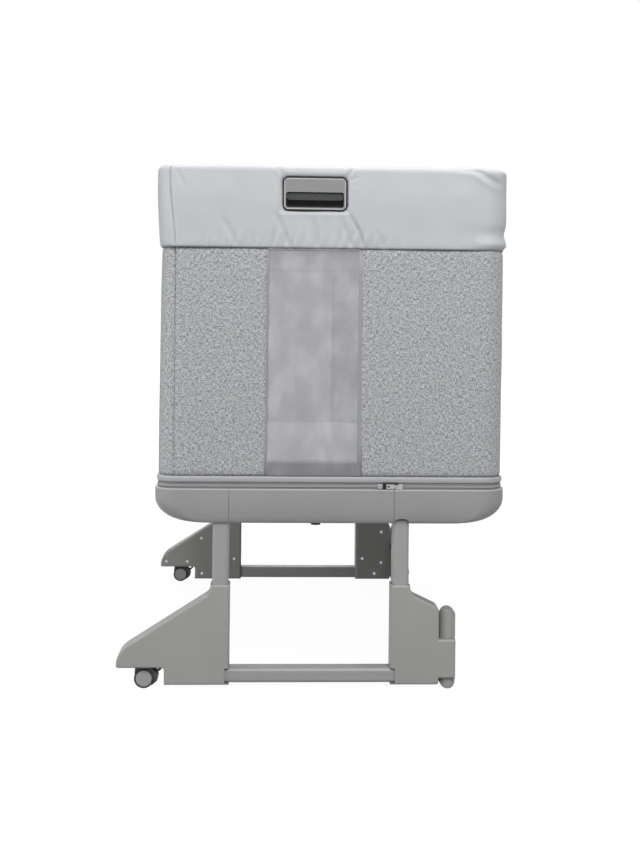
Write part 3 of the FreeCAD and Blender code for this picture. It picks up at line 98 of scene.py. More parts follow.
def build(name, points, faces, uv=None, flat=False):
    """A mesh object at the origin from arrays of points and quads; uv is a pair of metres for each point."""
    points = np.asarray(points, float).reshape(-1, 3)
    faces = np.asarray(faces, int)
    mesh = bpy.data.meshes.new(name)
    count, sides = faces.shape
    mesh.vertices.add(len(points))
    mesh.vertices.foreach_set("co", points.astype(np.float32).ravel())
    mesh.loops.add(count * sides)
    mesh.loops.foreach_set("vertex_index", faces.astype(np.int32).ravel())
    mesh.polygons.add(count)
    mesh.polygons.foreach_set("loop_start", (np.arange(count) * sides).astype(np.int32))
    if uv is not None:
        layer = mesh.uv_layers.new(name="cloth")
        layer.data.foreach_set("uv", np.asarray(uv, np.float32).reshape(-1, 2)[faces.ravel()].ravel())
    mesh.update(calc_edges=True)
    mesh.validate()
    mesh.polygons.foreach_set("use_smooth", np.full(len(mesh.polygons), not flat))
    piece = bpy.data.objects.new(name, mesh)
    bpy.context.scene.collection.objects.link(piece)
    return piece


def dress(piece, material, body="basin", nodes=()):
    """Gives a piece its material, the body it rides on and the CAD nodes that it stands for."""
    piece.data.materials.append(material)
    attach(piece, body)
    if nodes:
        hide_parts(*nodes)
    return piece


def thicken(piece, wall):
    """Gives a single surface its wall, inwards from the side that its faces look to."""
    solid = piece.modifiers.new("wall", "SOLIDIFY")
    solid.thickness = wall
    solid.offset = -1
    solid.use_rim = True
    solid.use_even_offset = False


def plan(corners, radius, pitch, closed=False):
    """Points of an outline in plan: straight runs of the given corners, each inner corner an arc of that radius.

    Gives the points, and at each one the distance along the outline. Every run is cut evenly at about the pitch,
    and each arc is radius * (1 - cos, sin) turned from one run's direction into the next's.
    """
    corners = [np.array(c, float) for c in corners]
    count = len(corners)
    pieces = []
    for k in range(count):
        here = corners[k]
        if not closed and k in (0, count - 1):
            pieces.append(here[None])
            continue
        back, ahead = corners[k - 1] - here, corners[(k + 1) % count] - here
        back, ahead = back / np.linalg.norm(back), ahead / np.linalg.norm(ahead)
        steps = max(6, int(radius * PI / 2 / pitch))
        t = np.linspace(0, PI / 2, steps + 1)[:, None]
        pieces.append(here + back * radius * (1 - np.sin(t)) + ahead * radius * (1 - np.cos(t)))
    runs = []
    for k, arc in enumerate(pieces):
        runs.append(arc)
        if k + 1 < count or closed:
            a, b = arc[-1], pieces[(k + 1) % count][0]
            steps = max(2, int(np.linalg.norm(b - a) / pitch))
            runs.append(a + (b - a) * np.linspace(0, 1, steps + 1)[1:-1, None])
    points = np.concatenate(runs)
    length = np.concatenate([[0], np.cumsum(np.linalg.norm(np.diff(points, axis=0), axis=1))])
    return points, length


def trimmed(outline, cut):
    """An outline with a length cut off both ends."""
    points, length = outline
    whole = length[-1]
    keep = (length > cut + 1e-5) & (length < whole - cut - 1e-5)
    at = np.concatenate([[cut], length[keep], [whole - cut]])
    return np.stack([np.interp(at, length, points[:, k]) for k in range(2)], -1), at - cut


def sides_of(points, closed=False):
    """At each point of an outline, the unit vector to its right, which looks outwards when it runs anticlockwise."""
    if closed:
        run = np.roll(points, -1, 0) - np.roll(points, 1, 0)
    else:
        run = np.gradient(points, axis=0)
    run = run / np.linalg.norm(run, axis=1, keepdims=True)
    return np.stack([run[:, 1], -run[:, 0]], -1)


# ---------------------------------------------------------------- shader helpers


class Paint:
    """A material and its nodes: each call adds a node, sets its inputs and returns its first output."""

    def __init__(self, name):
        self.material = bpy.data.materials.new(name)
        self.material.use_nodes = True
        self.tree = self.material.node_tree
        self.shader = self.tree.nodes["Principled BSDF"]
        self.out = self.tree.nodes["Material Output"]

    def node(self, kind, settings=None, **inputs):
        made = self.tree.nodes.new(kind)
        for key, value in (settings or {}).items():
            setattr(made, key, value)
        for key, value in inputs.items():
            self.feed(made.inputs[key.replace("_", " ")], value)
        return made

    def feed(self, socket, value):
        if isinstance(value, bpy.types.NodeSocket):
            self.tree.links.new(value, socket)
        elif hasattr(socket.default_value, "__len__") and not hasattr(value, "__len__"):
            socket.default_value = [value] * len(socket.default_value)
        elif hasattr(value, "__len__") and len(value) == 3 and len(socket.default_value) == 4:
            socket.default_value = (*value, 1)
        else:
            socket.default_value = value

    def math(self, operation, a, b=0.0):
        made = self.tree.nodes.new("ShaderNodeMath")
        made.operation = operation
        for socket, value in zip(made.inputs, (a, b)):
            self.feed(socket, value)
        return made.outputs[0]

    def object_place(self, scale=(1, 1, 1)):
        place = self.node("ShaderNodeTexCoord").outputs["Object"]
        return self.node("ShaderNodeMapping", Vector=place, Scale=scale).outputs[0]

    def cloth_place(self, scale=(1, 1, 1)):
        place = self.node("ShaderNodeUVMap", {"uv_map": "cloth"}).outputs[0]
        return self.node("ShaderNodeMapping", Vector=place, Scale=scale).outputs[0]

    def noise(self, place, scale=1.0, detail=2.0, rough=0.5):
        return self.node("ShaderNodeTexNoise", Vector=place, Scale=scale, Detail=detail, Roughness=rough).outputs[0]

    def weave(self, pitch):
        """A plain weave: the higher of two waves, one along the cloth and one up it."""
        waves = [self.node("ShaderNodeTexWave", {"bands_direction": way}, Vector=self.cloth_place(), Scale=pitch)
                 for way in "XY"]
        return self.math("MAXIMUM", waves[0].outputs[1], waves[1].outputs[1])

    def ramp(self, value, stops):
        made = self.node("ShaderNodeValToRGB", Fac=value)
        band = made.color_ramp
        while len(band.elements) < len(stops):
            band.elements.new(0.5)
        for element, (place, colour) in zip(band.elements, stops):
            element.position = place
            element.color = (*colour, 1) if len(colour) == 3 else colour
        return made.outputs[0]

    def mix(self, share, a, b):
        made = self.tree.nodes.new("ShaderNodeMix")
        made.data_type = "RGBA"
        self.feed(made.inputs[0], share)
        self.feed(made.inputs[6], a)
        self.feed(made.inputs[7], b)
        return made.outputs[2]

    def spread(self, value, low, high, to_low, to_high):
        return self.node(
            "ShaderNodeMapRange",
            Value=value, From_Min=low, From_Max=high, To_Min=to_low, To_Max=to_high,
        ).outputs[0]

    def bump(self, height, depth, strength=1.0, under=None):
        made = self.node("ShaderNodeBump", Height=height, Distance=depth, Strength=strength)
        if under is not None:
            self.feed(made.inputs["Normal"], under)
        return made.outputs[0]

    def finish(self, colour=None, rough=None, normal=None, **plain):
        if colour is not None:
            self.feed(self.shader.inputs["Base Color"], colour)
        if rough is not None:
            self.feed(self.shader.inputs["Roughness"], rough)
        if normal is not None:
            self.feed(self.shader.inputs["Normal"], normal)
        for key, value in plain.items():
            self.feed(self.shader.inputs[key.replace("_", " ")], value)
        return self.material


def tone(base, share):
    """A colour made lighter or darker by a share of itself."""
    return tuple(min(1.0, c * (1 + share)) for c in base)


def moulded(name, base, grain=900.0, depth=0.00006, rough=0.5, mottle=0.05, lip=None):
    """Moulded plastic: a spark-eroded grain, faint flow mottling, duller patches and a painted highlight: a lighter
    tone above a height, where the rounded lip would catch light.
    """
    p = Paint(name)
    place = p.object_place()
    cloud = p.noise(place, 9.0, 3.0, 0.55)
    speck = p.noise(place, 420.0, 2.0, 0.6)
    shade = p.math("ADD", p.math("MULTIPLY", cloud, 0.7), p.math("MULTIPLY", speck, 0.3))
    colour = p.ramp(shade, [(0.3, tone(base, -mottle)), (0.7, tone(base, mottle))])
    dull = p.spread(p.noise(place, 26.0, 4.0), 0.3, 0.7, rough - 0.05, rough + 0.07)
    # Above the lip height the colour turns lighter: a painted highlight on the rounded top edge.
    if lip is not None:
        height = p.node("ShaderNodeSeparateXYZ", Vector=place).outputs[2]
        colour = p.mix(p.spread(height, lip - 0.0006, lip, 0.0, 0.8), colour, tone(base, 0.8))
    leather = p.noise(place, grain, 2.0, 0.5)
    return p.finish(colour, dull, p.bump(leather, depth, 0.6), Specular_IOR_Level=0.4)


def handle_moulding(name, base, inner):
    """The handle's moulding: grained grey on its face, painted shade as a dark tone deeper than 3 mm behind the face,
    and a painted highlight along the bezel's rim.
    """
    p = Paint(name)
    place = p.object_place()
    depth = p.math("ABSOLUTE", p.node("ShaderNodeSeparateXYZ", Vector=place).outputs[1])
    # recess_shade is 1 deeper than 3 mm behind the face: there the colour is the painted shade of the recess.
    recess_shade = p.spread(depth, -NEAR - 0.0036, -NEAR - 0.0028, 1.0, 0.0)
    cloud = p.noise(place, 9.0, 3.0, 0.55)
    face = p.ramp(cloud, [(0.3, tone(base, -0.04)), (0.7, tone(base, 0.04))])
    colour = p.mix(recess_shade, face, inner)
    leather = p.noise(place, 1300.0, 2.0, 0.5)
    x, _, z = p.node("ShaderNodeSeparateXYZ", Vector=place).outputs

    def beyond(value, low, high):
        off = p.math("ABSOLUTE", p.math("SUBTRACT", value, (low + high) / 2))
        return p.math("SUBTRACT", off, (high - low) / 2)

    # A lighter tone within about 2 mm of the bezel's outline, outside the recess: a painted highlight on its rounded
    # rim.
    edge = p.math("MAXIMUM", beyond(x, BEZEL[0], BEZEL[1]), beyond(z, BEZEL[2], BEZEL[3]))
    rim = p.math("MULTIPLY", p.spread(edge, -0.0022, -0.0016, 0.0, 1.0), p.math("SUBTRACT", 1.0, recess_shade))
    colour = p.mix(rim, colour, tone(base, 0.75))
    dull = p.spread(cloud, 0.3, 0.7, 0.34, 0.44)
    return p.finish(colour, dull, p.bump(leather, 0.00003, 0.6), Specular_IOR_Level=0.4)


def wheel_moulding(name, cap, tread):
    """A caster wheel: a grained grey cap disc inside a dark scuffed tread, told apart by the distance from the axle."""
    p = Paint(name)
    place = p.object_place()
    x, _, z = p.node("ShaderNodeSeparateXYZ", Vector=place).outputs
    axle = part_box("near_caster_wheels")
    dx = p.math("SUBTRACT", x, (axle[0].x + axle[1].x) / 2)
    dz = p.math("SUBTRACT", z, (axle[0].z + axle[1].z) / 2)
    away = p.math("SQRT", p.math("ADD", p.math("MULTIPLY", dx, dx), p.math("MULTIPLY", dz, dz)))
    outer = p.spread(away, 0.0140, 0.0145, 0.0, 1.0)
    scuff = p.noise(place, 240.0, 3.0, 0.6)
    face = p.ramp(scuff, [(0.3, tone(cap, -0.04)), (0.7, tone(cap, 0.04))])
    worn = p.ramp(scuff, [(0.4, tread), (0.75, tone(tread, 0.8))])
    grain = p.noise(place, 1100.0, 2.0, 0.5)
    return p.finish(p.mix(outer, face, worn), p.spread(outer, 0.0, 1.0, 0.42, 0.7), p.bump(grain, 0.00004, 0.6))


def painted(name, base, rough=0.38):
    """Powder-coated tube: orange-peel ripple and a few duller rubbed patches."""
    p = Paint(name)
    place = p.object_place()
    peel = p.noise(place, 380.0, 2.0, 0.5)
    rub = p.noise(p.object_place((8, 8, 60)), 1.0, 3.0)
    colour = p.ramp(rub, [(0.3, tone(base, -0.04)), (0.72, tone(base, 0.04))])
    return p.finish(colour, p.spread(rub, 0.3, 0.7, rough - 0.04, rough + 0.08), p.bump(peel, 0.00008, 0.5))


def bare_metal(name, base, rough=0.3, brush=(40, 900, 900)):
    """Bright metal with fine drawn lines along one direction."""
    p = Paint(name)
    line = p.noise(p.object_place(brush), 1.0, 2.0, 0.6)
    colour = p.ramp(line, [(0.35, tone(base, -0.12)), (0.65, tone(base, 0.08))])
    return p.finish(
        colour, p.spread(line, 0.3, 0.7, rough - 0.08, rough + 0.1), p.bump(line, 0.00002, 0.4), Metallic=1.0,
    )


def satin_cloth(name, base, hem=None):
    """Smooth padded-band cloth: a fine plain weave, a soft sheen, faint clouding and the stitches of its hem."""
    p = Paint(name)
    weave = p.weave(420.0)
    cloud = p.noise(p.cloth_place((14, 22, 1)), 1.0, 3.0, 0.55)
    slub = p.noise(p.cloth_place((60, 1400, 1)), 1.0, 2.0, 0.5)
    shade = p.math("ADD", p.math("MULTIPLY", cloud, 0.6), p.math("MULTIPLY", slub, 0.4))
    colour = p.ramp(shade, [(0.3, tone(base, -0.035)), (0.7, tone(base, 0.03))])
    soft = p.bump(cloud, 0.0012, 0.35)
    normal = p.bump(weave, 0.00008, 0.35, soft)
    if hem is not None:
        across = p.node("ShaderNodeSeparateXYZ", Vector=p.cloth_place())
        dash = p.math("GREATER_THAN", p.math("SINE", p.math("MULTIPLY", across.outputs[0], 2 * PI / 0.0045)), -0.35)
        line = p.math("LESS_THAN", p.math("ABSOLUTE", p.math("SUBTRACT", across.outputs[1], hem)), 0.0005)
        stitch = p.math("MULTIPLY", dash, line)
        colour = p.mix(stitch, colour, tone(base, 0.12))
        normal = p.bump(stitch, 0.0003, 0.6, normal)
    return p.finish(
        colour, p.spread(cloud, 0.3, 0.7, 0.5, 0.6), normal,
        Sheen_Weight=0.35, Sheen_Roughness=0.4, Specular_IOR_Level=0.35,
    )


def heather_cloth(name, dark, middle, light):
    """Melange upholstery cloth: thin dark and light yarns that run along the cloth and up it and cross."""
    p = Paint(name)
    along = p.noise(p.cloth_place((165, 620, 1)), 1.0, 1.0, 0.6)
    upward = p.noise(p.cloth_place((620, 165, 1)), 1.0, 1.0, 0.6)
    first = p.math("ABSOLUTE", p.math("SUBTRACT", along, 0.5))
    second = p.math("ABSOLUTE", p.math("SUBTRACT", upward, 0.5))
    over = p.math("GREATER_THAN", first, second)
    both = p.math("ADD", upward, p.math("MULTIPLY", over, p.math("SUBTRACT", along, upward)))
    colour = p.ramp(both, [(0.32, dark), (0.455, middle), (0.555, middle), (0.68, light)])
    normal = p.bump(p.weave(190.0), 0.0002, 0.5, p.bump(both, 0.0005, 0.35))
    return p.finish(colour, 0.85, normal, Sheen_Weight=0.25, Sheen_Roughness=0.6, Specular_IOR_Level=0.2)


def mesh_cloth(name, base, pitch=0.0019):
    """Knitted mesh: diamond holes between threads, worked out as the product of two waves set at a slant."""
    p = Paint(name)
    place = p.node("ShaderNodeSeparateXYZ", Vector=p.cloth_place())
    turn = 2 * PI / pitch
    u = p.math("MULTIPLY", place.outputs[0], turn / 2)
    v = p.math("MULTIPLY", place.outputs[1], turn / 2 * 0.62)
    first = p.math("ABSOLUTE", p.math("SINE", p.math("ADD", u, v)))
    second = p.math("ABSOLUTE", p.math("SINE", p.math("SUBTRACT", u, v)))
    open_ = p.math("MULTIPLY", first, second)
    through = p.spread(open_, 0.58, 0.76, 0.0, 1.0)
    cloud = p.noise(p.cloth_place((25, 15, 1)), 1.0, 2.0)
    colour = p.ramp(cloud, [(0.36, tone(base, -0.10)), (0.5, base), (0.66, tone(base, 0.22))])
    p.finish(colour, 0.75, p.bump(open_, 0.0003, 0.4), Sheen_Weight=0.2, Specular_IOR_Level=0.2)
    clear = p.node("ShaderNodeBsdfTransparent")
    mixed = p.node("ShaderNodeMixShader", Fac=through)
    p.tree.links.new(p.shader.outputs[0], mixed.inputs[1])
    p.tree.links.new(clear.outputs[0], mixed.inputs[2])
    p.tree.links.new(mixed.outputs[0], p.out.inputs["Surface"])
    return p.material


def rubber(name, base):
    """Dull rubber with dust in its grain."""
    p = Paint(name)
    dust = p.noise(p.object_place(), 160.0, 4.0, 0.7)
    colour = p.ramp(dust, [(0.4, base), (0.75, tone(base, 0.7))])
    return p.finish(colour, 0.85, p.bump(dust, 0.0001, 0.5), Specular_IOR_Level=0.25)


def fibreboard(name, base):
    """Pressed board: long pale and dark fibres."""
    p = Paint(name)
    fibre = p.noise(p.object_place((60, 260, 260)), 1.0, 4.0, 0.7)
    colour = p.ramp(fibre, [(0.3, tone(base, -0.2)), (0.7, tone(base, 0.12))])
    return p.finish(colour, 0.75, p.bump(fibre, 0.0002, 0.5))


TRAY_GREY = (0.292, 0.296, 0.292)
LEG_GREY = (0.325, 0.326, 0.315)
# lip=0.3603: the height above which the tray's rim gets a painted highlight.
tray_plastic = moulded("tray_plastic", TRAY_GREY, 1100.0, 0.00005, 0.48, lip=0.3603)
leg_plastic = moulded("leg_plastic", LEG_GREY, 1300.0, 0.00004, 0.45)
# The third colour is the painted shade inside the handle's recess.
handle_plastic = handle_moulding("handle_plastic", (0.245, 0.251, 0.247), (0.052, 0.053, 0.056))
bar_plastic = moulded("bar_plastic", (0.043, 0.045, 0.047), 1300.0, 0.00003, 0.38)
dark_plastic = moulded("dark_plastic", (0.045, 0.045, 0.048), 1100.0, 0.00004, 0.5)
hood_plastic = moulded("hood_plastic", (0.05, 0.05, 0.046), 1100.0, 0.00004, 0.42)
wheel_plastic = wheel_moulding("wheel_plastic", (0.32, 0.322, 0.315), (0.035, 0.035, 0.036))
post_paint = painted("post_paint", (0.318, 0.322, 0.320))
tube_metal = bare_metal("tube_metal", (0.6, 0.6, 0.61), 0.34, (900, 900, 40))
pin_steel = bare_metal("pin_steel", (0.62, 0.62, 0.62), 0.3)
zip_metal = bare_metal("zip_metal", (0.50, 0.50, 0.51), 0.32, (300, 300, 300))
pad_rubber = rubber("pad_rubber", (0.03, 0.03, 0.032))
# Near-black used as painted shade in the zip's open end and in the pull's hole.
painted_gap_shade = moulded("painted_gap_shade", (0.012, 0.012, 0.013), 900.0, 0.00003, 0.8)
board_fibre = fibreboard("board_fibre", (0.42, 0.33, 0.22))
band_cloth = satin_cloth("band_cloth", (0.490, 0.500, 0.524), hem=0.006)
piping_cloth = satin_cloth("piping_cloth", (0.375, 0.38, 0.39))
tape_cloth = satin_cloth("tape_cloth", (0.205, 0.21, 0.22))
pad_cloth = satin_cloth("pad_cloth", (0.74, 0.745, 0.75))
heather = heather_cloth("heather_cloth", (0.178, 0.183, 0.188), (0.374, 0.382, 0.392), (0.55, 0.56, 0.565))
mesh_net = mesh_cloth("mesh_net", (0.385, 0.379, 0.395))
hem_net = mesh_cloth("hem_net", (0.270, 0.265, 0.277))
binding_cloth = satin_cloth("binding_cloth", (0.30, 0.30, 0.315))
teeth_plastic = moulded("teeth_plastic", (0.50, 0.505, 0.515), 1300.0, 0.00002, 0.35)

CLAD = {
    tray_plastic: ["base_shell_left", "base_shell_centre", "base_shell_right"],
    leg_plastic: [
        f"{end}_{part}" for end in ("near", "far")
        for part in (
            "left_leg_cover", "left_leg_back", "right_leg_cover", "right_leg_back", "height_button", "fold_foot",
        )
    ],
    handle_plastic: ["near_handle_housing", "far_handle_housing"],
    bar_plastic: ["near_release_lever", "far_release_lever"],
    dark_plastic: ["tray_sockets", "corner_fittings", "drop_brackets"],
    hood_plastic: ["near_caster_body", "far_caster_body", "near_brake_pedal", "far_brake_pedal"],
    wheel_plastic: ["near_caster_wheels", "far_caster_wheels"],
    post_paint: ["height_posts", "near_crossbar", "far_crossbar"],
    tube_metal: ["corner_uprights", "top_frame_tubes", "drop_rail"],
    pin_steel: [
        "lever_pins", "near_latch_rod", "far_latch_rod", "near_foot_pin", "far_foot_pin",
        "near_caster_axle", "far_caster_axle", "near_leg_screws", "far_leg_screws",
    ],
    zip_metal: ["zip_slider", "zip_pull"],
    pad_rubber: ["underside_pads"],
    board_fibre: ["base_board"],
}
for material, names in CLAD.items():
    for name in names:
        NODES[name].data.materials.clear()
        NODES[name].data.materials.append(material)

# ---------------------------------------------------------------- the padded band

BAND_LOW, BAND_HIGH, INNER_LOW = 0.795, 0.945, 0.850
CORNER = 0.043
HOLE = (BEZEL[0] - 0.0026, BEZEL[1] + 0.0026, BEZEL[2] - 0.0024, BEZEL[3] + 0.0024)


def band_profile(pitch):
    """The band's section, from the outer hem over the top to the inner hem: shares across, heights and length.

    The outer leaf rises straight, a half ellipse rounds the top, and the inner leaf falls to its hem.
    """
    width, crown = 0.0435, 0.013
    rise = np.arange(0, BAND_HIGH - crown - BAND_LOW, pitch)
    turn = np.linspace(0, PI, int(PI * width / 2 / pitch) + 2)
    fall = np.arange(BAND_HIGH - crown, INNER_LOW, -pitch)[1:]
    across = np.concatenate([np.zeros_like(rise), (1 - np.cos(turn)) / 2, np.ones_like(fall)])
    square = np.sign(np.sin(turn)) * np.abs(np.sin(turn)) ** 0.72
    height = np.concatenate([rise + BAND_LOW, BAND_HIGH - crown + crown * square, fall])
    step = np.hypot(np.diff(across * width), np.diff(height))
    return across, height, np.concatenate([[0], np.cumsum(step)])


def crease(x, z, a, b, width, depth, lip=0.45):
    """A fold along the line from a to b: a narrow valley between two lower lips, fading out at both ends."""
    a, b = np.array(a), np.array(b)
    run = b - a
    size = np.hypot(*run)
    along = ((x - a[0]) * run[0] + (z - a[1]) * run[1]) / size
    off = ((x - a[0]) * run[1] - (z - a[1]) * run[0]) / size
    fade = smooth_step(-0.25 * size, 0.15 * size, along) * (1 - smooth_step(0.85 * size, 1.2 * size, along))
    lips = bell(off - 1.9 * width, width) + bell(off + 1.9 * width, width)
    return fade * (-depth * bell(off, width) + lip * depth * lips)


def gathers(s, z, low, places, height=0.045, width=0.0032, depth=0.0016):
    """Small upright folds that rise from a hem at given places along it and fade out with height."""
    total = np.zeros_like(s)
    for place, lean, share in places:
        off = s - place - lean * (z - low)
        tall = height * share
        fade = (1 - smooth_step(0.25 * tall, tall, z - low)) * (0.45 + 0.55 * smooth_step(0, 0.007, z - low))
        total = total + fade * share * depth * (0.55 * bell(off - 2.1 * width, width * 1.2) - bell(off, width))
    return total


NEAR_CREASES = [
    # from, to (across from the stand's centre, height), width, depth
    ((0.0610, 0.861), (0.0790, 0.829), 0.0020, 0.0056),
    ((0.0770, 0.834), (0.0900, 0.797), 0.0022, 0.0060),
    ((0.0590, 0.925), (0.0690, 0.940), 0.0026, 0.0026),
    ((-0.0580, 0.925), (-0.0660, 0.939), 0.0026, 0.0026),
    ((-0.0560, 0.926), (-0.0585, 0.939), 0.0020, 0.0018),
    ((0.0640, 0.918), (0.0760, 0.923), 0.0018, 0.0016),
    ((0.0630, 0.898), (0.0730, 0.890), 0.0018, 0.0012),
    ((0.0640, 0.908), (0.0740, 0.908), 0.0016, 0.0010),
    ((-0.0640, 0.918), (-0.0730, 0.924), 0.0018, 0.0014),
    ((-0.0660, 0.850), (-0.0440, 0.797), 0.0042, 0.0030),
    ((-0.0625, 0.905), (-0.0640, 0.850), 0.0026, 0.0014),
    ((-0.0020, 0.842), (0.0080, 0.797), 0.0048, 0.0022),
    ((-0.0180, 0.852), (-0.0090, 0.820), 0.0040, 0.0014),
    ((0.0480, 0.846), (0.0690, 0.797), 0.0040, 0.0026),
    ((-0.1620, 0.842), (-0.1380, 0.798), 0.0050, 0.0018),
    ((0.1140, 0.824), (0.1240, 0.797), 0.0038, 0.0022),
    ((0.2900, 0.938), (0.3320, 0.914), 0.0050, 0.0036),
    ((0.2600, 0.940), (0.3100, 0.936), 0.0040, 0.0014),
    ((-0.2470, 0.932), (-0.2350, 0.905), 0.0030, 0.0020),
]
NEAR_GATHERS = [
    (-0.199, 0.10, 0.8), (-0.187, 0.05, 0.6), (-0.169, 0.02, 0.9), (-0.156, -0.12, 0.7), (-0.144, 0.15, 1.0),
    (-0.124, 0.05, 0.7), (-0.107, -0.05, 0.9), (-0.091, 0.08, 0.6), (-0.077, 0.25, 1.2), (-0.055, 0.3, 1.1),
    (-0.041, 0.2, 1.0), (-0.021, 0.12, 0.8), (0.001, 0.2, 1.1), (0.023, 0.1, 0.6), (0.042, 0.28, 1.0),
    (0.061, 0.32, 1.2), (0.081, 0.3, 1.0), (0.101, 0.2, 0.9), (0.128, 0.1, 0.8), (0.155, 0.0, 0.5),
    (0.202, -0.1, 0.4), (0.259, -0.1, 0.5), (0.293, -0.2, 0.7),
]


def seam_place(z, run, radius):
    """Distance along the outline to the corner seam, which slants: further round at the hem than at the top."""
    share = 1 - smooth_step(BAND_LOW - 0.02, 0.925, z)
    angle = np.radians(63 + 19 * share)
    return run + radius * angle


def band_piece(name, outer, inner, relief, seams=(None, None), hole=None, pitch=0.0036, body="basin", nodes=()):
    """A length of the band: its section carried along the outline, inside to outside matched by share of length.

    A point is outline(s) + (inside(s) - outline(s)) * across + relief along the outline's side, at the section's
    height; s runs between the two seams, each a function of height. Seams draw the padding in.
    """
    across, height, run = band_profile(pitch)
    points, length = outer
    facing = sides_of(points)
    whole = length[-1]
    starts = seams[0](height) if seams[0] else np.zeros_like(height)
    ends = seams[1](height) if seams[1] else np.full_like(height, whole)
    steps = int((ends.mean() - starts.mean()) / pitch) + 1
    t = np.linspace(0, 1, steps)[:, None]
    s = starts + (ends - starts) * t
    z = np.repeat(height[None], steps, 0)
    share = np.repeat(across[None], steps, 0)
    outside = [np.interp(s, length, points[:, k]) for k in range(2)]
    side = [np.interp(s, length, facing[:, k]) for k in range(2)]
    reach = np.repeat(t, len(height), 1)
    inside = [np.interp(reach * inner[1][-1], inner[1], inner[0][:, k]) for k in range(2)]
    x = outside[0] + (inside[0] - outside[0]) * share
    y = outside[1] + (inside[1] - outside[1]) * share
    lift = relief(s - starts, z, share, x)
    for gap, sewn in ((s - starts, seams[0]), (ends - s, seams[1])):
        if sewn:
            lift = lift * smooth_step(0, 0.014, gap)
        lift = lift - (0.0028 * bell(gap, 0.0030) + 0.0014 * bell(gap, 0.013))
    outward, upward = np.cos(share * PI), np.sin(share * PI)
    x = x + side[0] * lift * outward
    y = y + side[1] * lift * outward
    z = z + lift * upward
    faces = grid_faces(steps, len(height))
    if hole is not None:
        hx0, hx1, hz0, hz1 = hole
        mid = [values.ravel()[faces].mean(1) for values in (x, z, share)]
        inside_hole = (mid[0] > hx0) & (mid[0] < hx1) & (mid[1] > hz0) & (mid[1] < hz1) & (mid[2] < 0.05)
        gone, faces = faces[inside_hole], faces[~inside_hole]
        rim = np.zeros(x.size, bool)
        rim[np.intersect1d(np.unique(gone), np.unique(faces))] = True
        rim = rim.reshape(x.shape)
        cx, cz, hw, hh, hr = (hx0 + hx1) / 2, (hz0 + hz1) / 2, (hx1 - hx0) / 2, (hz1 - hz0) / 2, 0.0105
        dx, dz = x - cx, z - cz
        qx, qz = np.clip(dx, hr - hw, hw - hr), np.clip(dz, hr - hh, hh - hr)
        away = np.maximum(np.hypot(dx - qx, dz - qz), 1e-6)
        x = np.where(rim, cx + qx + (dx - qx) / away * hr, x)
        z = np.where(rim, cz + qz + (dz - qz) / away * hr, z)
        gap = np.hypot(np.maximum(np.abs(x - cx) - hw, 0), np.maximum(np.abs(z - cz) - hh, 0))
        tuck = 0.0034 * bell(gap, 0.0026) - 0.0008 * bell(gap - 0.006, 0.004) + 0.0006 * bell(gap, 0.014)
        y = y + np.where(share < 0.05, inward_sign(name) * tuck, 0)
    uv = np.stack([s, np.repeat(run[None], steps, 0)], -1)
    piece = build(name, np.stack([x, y, z], -1), faces, uv)
    thicken(piece, 0.0042)
    dress(piece, band_cloth, body, nodes)


def inward_sign(name):
    """Which way is inwards along Y: +1 at the near end, -1 at the far end."""
    return -1.0 if name.endswith("far") else 1.0


def lower_lean(z, amount):
    """The band's front falls back towards its hem, slowly at first and faster near the hem."""
    down = np.clip((0.905 - z) / (0.905 - BAND_LOW), 0, 1)
    return -amount * down ** 1.7


def near_relief(s, z, share, x):
    """The near end: puckers, the folds round the handle, and a drawn-in waist with a flared hem at the bed corner."""
    front = 1 - smooth_step(0.0, 0.12, share)
    u = x - STAND
    flat = 1 - smooth_step(0.27, 0.33, u)
    corner = smooth_step(0.27, 0.335, u) * front
    lift = 0.0010 * wander(s, 4, 0.035) * wander(z, 7, 0.03) + 0.0011 * wander(s + 0.6 * z, 11, 0.06)
    for start, stop, width, depth in NEAR_CREASES:
        lift = lift + crease(u, z, start, stop, width, depth) * front
    lift = lift + gathers(u, z, BAND_LOW, NEAR_GATHERS, 0.042, 0.0030, 0.0022) * front * flat
    lift = lift + corner * (0.0010 - 0.0036 * bell(z - 0.826, 0.011) + 0.0026 * bell(z - 0.806, 0.008)
                            - 0.004 * bell(z - 0.795, 0.005))
    lift = lift - 0.0010 * front * bell(z - BAND_LOW, 0.004) + lower_lean(z, 0.0024) * front
    lift = lift + (0.0009 * wander(x, 21, 0.05) - 0.0004) * (1 - front)
    return lift + 0.0014 * front * bell(z - 0.885, 0.04) * flat - 0.0006 * front


def hem_places(count, start, step, stray, lean, rates):
    """Places of a hem's gathers: even steps that stray, lean and grow, each as a sine of its own rate."""
    k = np.arange(count)
    first, second, third = (np.sin(rate * k) for rate in rates)
    return list(zip(start + step * k + stray * first, lean * second, 0.5 + 0.4 * third ** 2))


def left_relief(s, z, share, x):
    """The long room side: it leans in towards its hem, with soft waves and gathers along the hem."""
    front = 1 - smooth_step(0.0, 0.12, share)
    lift = 0.0009 * wander(s, 31, 0.07) + 0.0006 * wander(s - 0.5 * z, 33, 0.04)
    lift = lift + lower_lean(z, 0.0060) * front
    places = hem_places(17, 0.11, 0.047, 0.012, 0.15, (3.1, 1.7, 2.3))
    lift = lift + gathers(s, z, BAND_LOW, places) * front
    return lift - 0.0018 * front * bell(z - BAND_LOW, 0.004) - 0.0003 * front


def right_relief(s, z, share, x):
    """The drop side: a softly waved top and gathers along the hem."""
    front = 1 - smooth_step(0.0, 0.12, share)
    lift = 0.0008 * wander(s, 41, 0.08) + 0.0006 * wander(s + 0.7 * z, 43, 0.04)
    places = hem_places(18, 0.03, 0.045, 0.010, 0.2, (2.1, 2.7, 1.3))
    lift = lift + gathers(s, z, BAND_LOW, places) * front
    lift = lift - 0.0030 * front * bell(z - 0.826, 0.014) - 0.0018 * front * bell(z - BAND_LOW, 0.004)
    return lift - 0.0006 * front


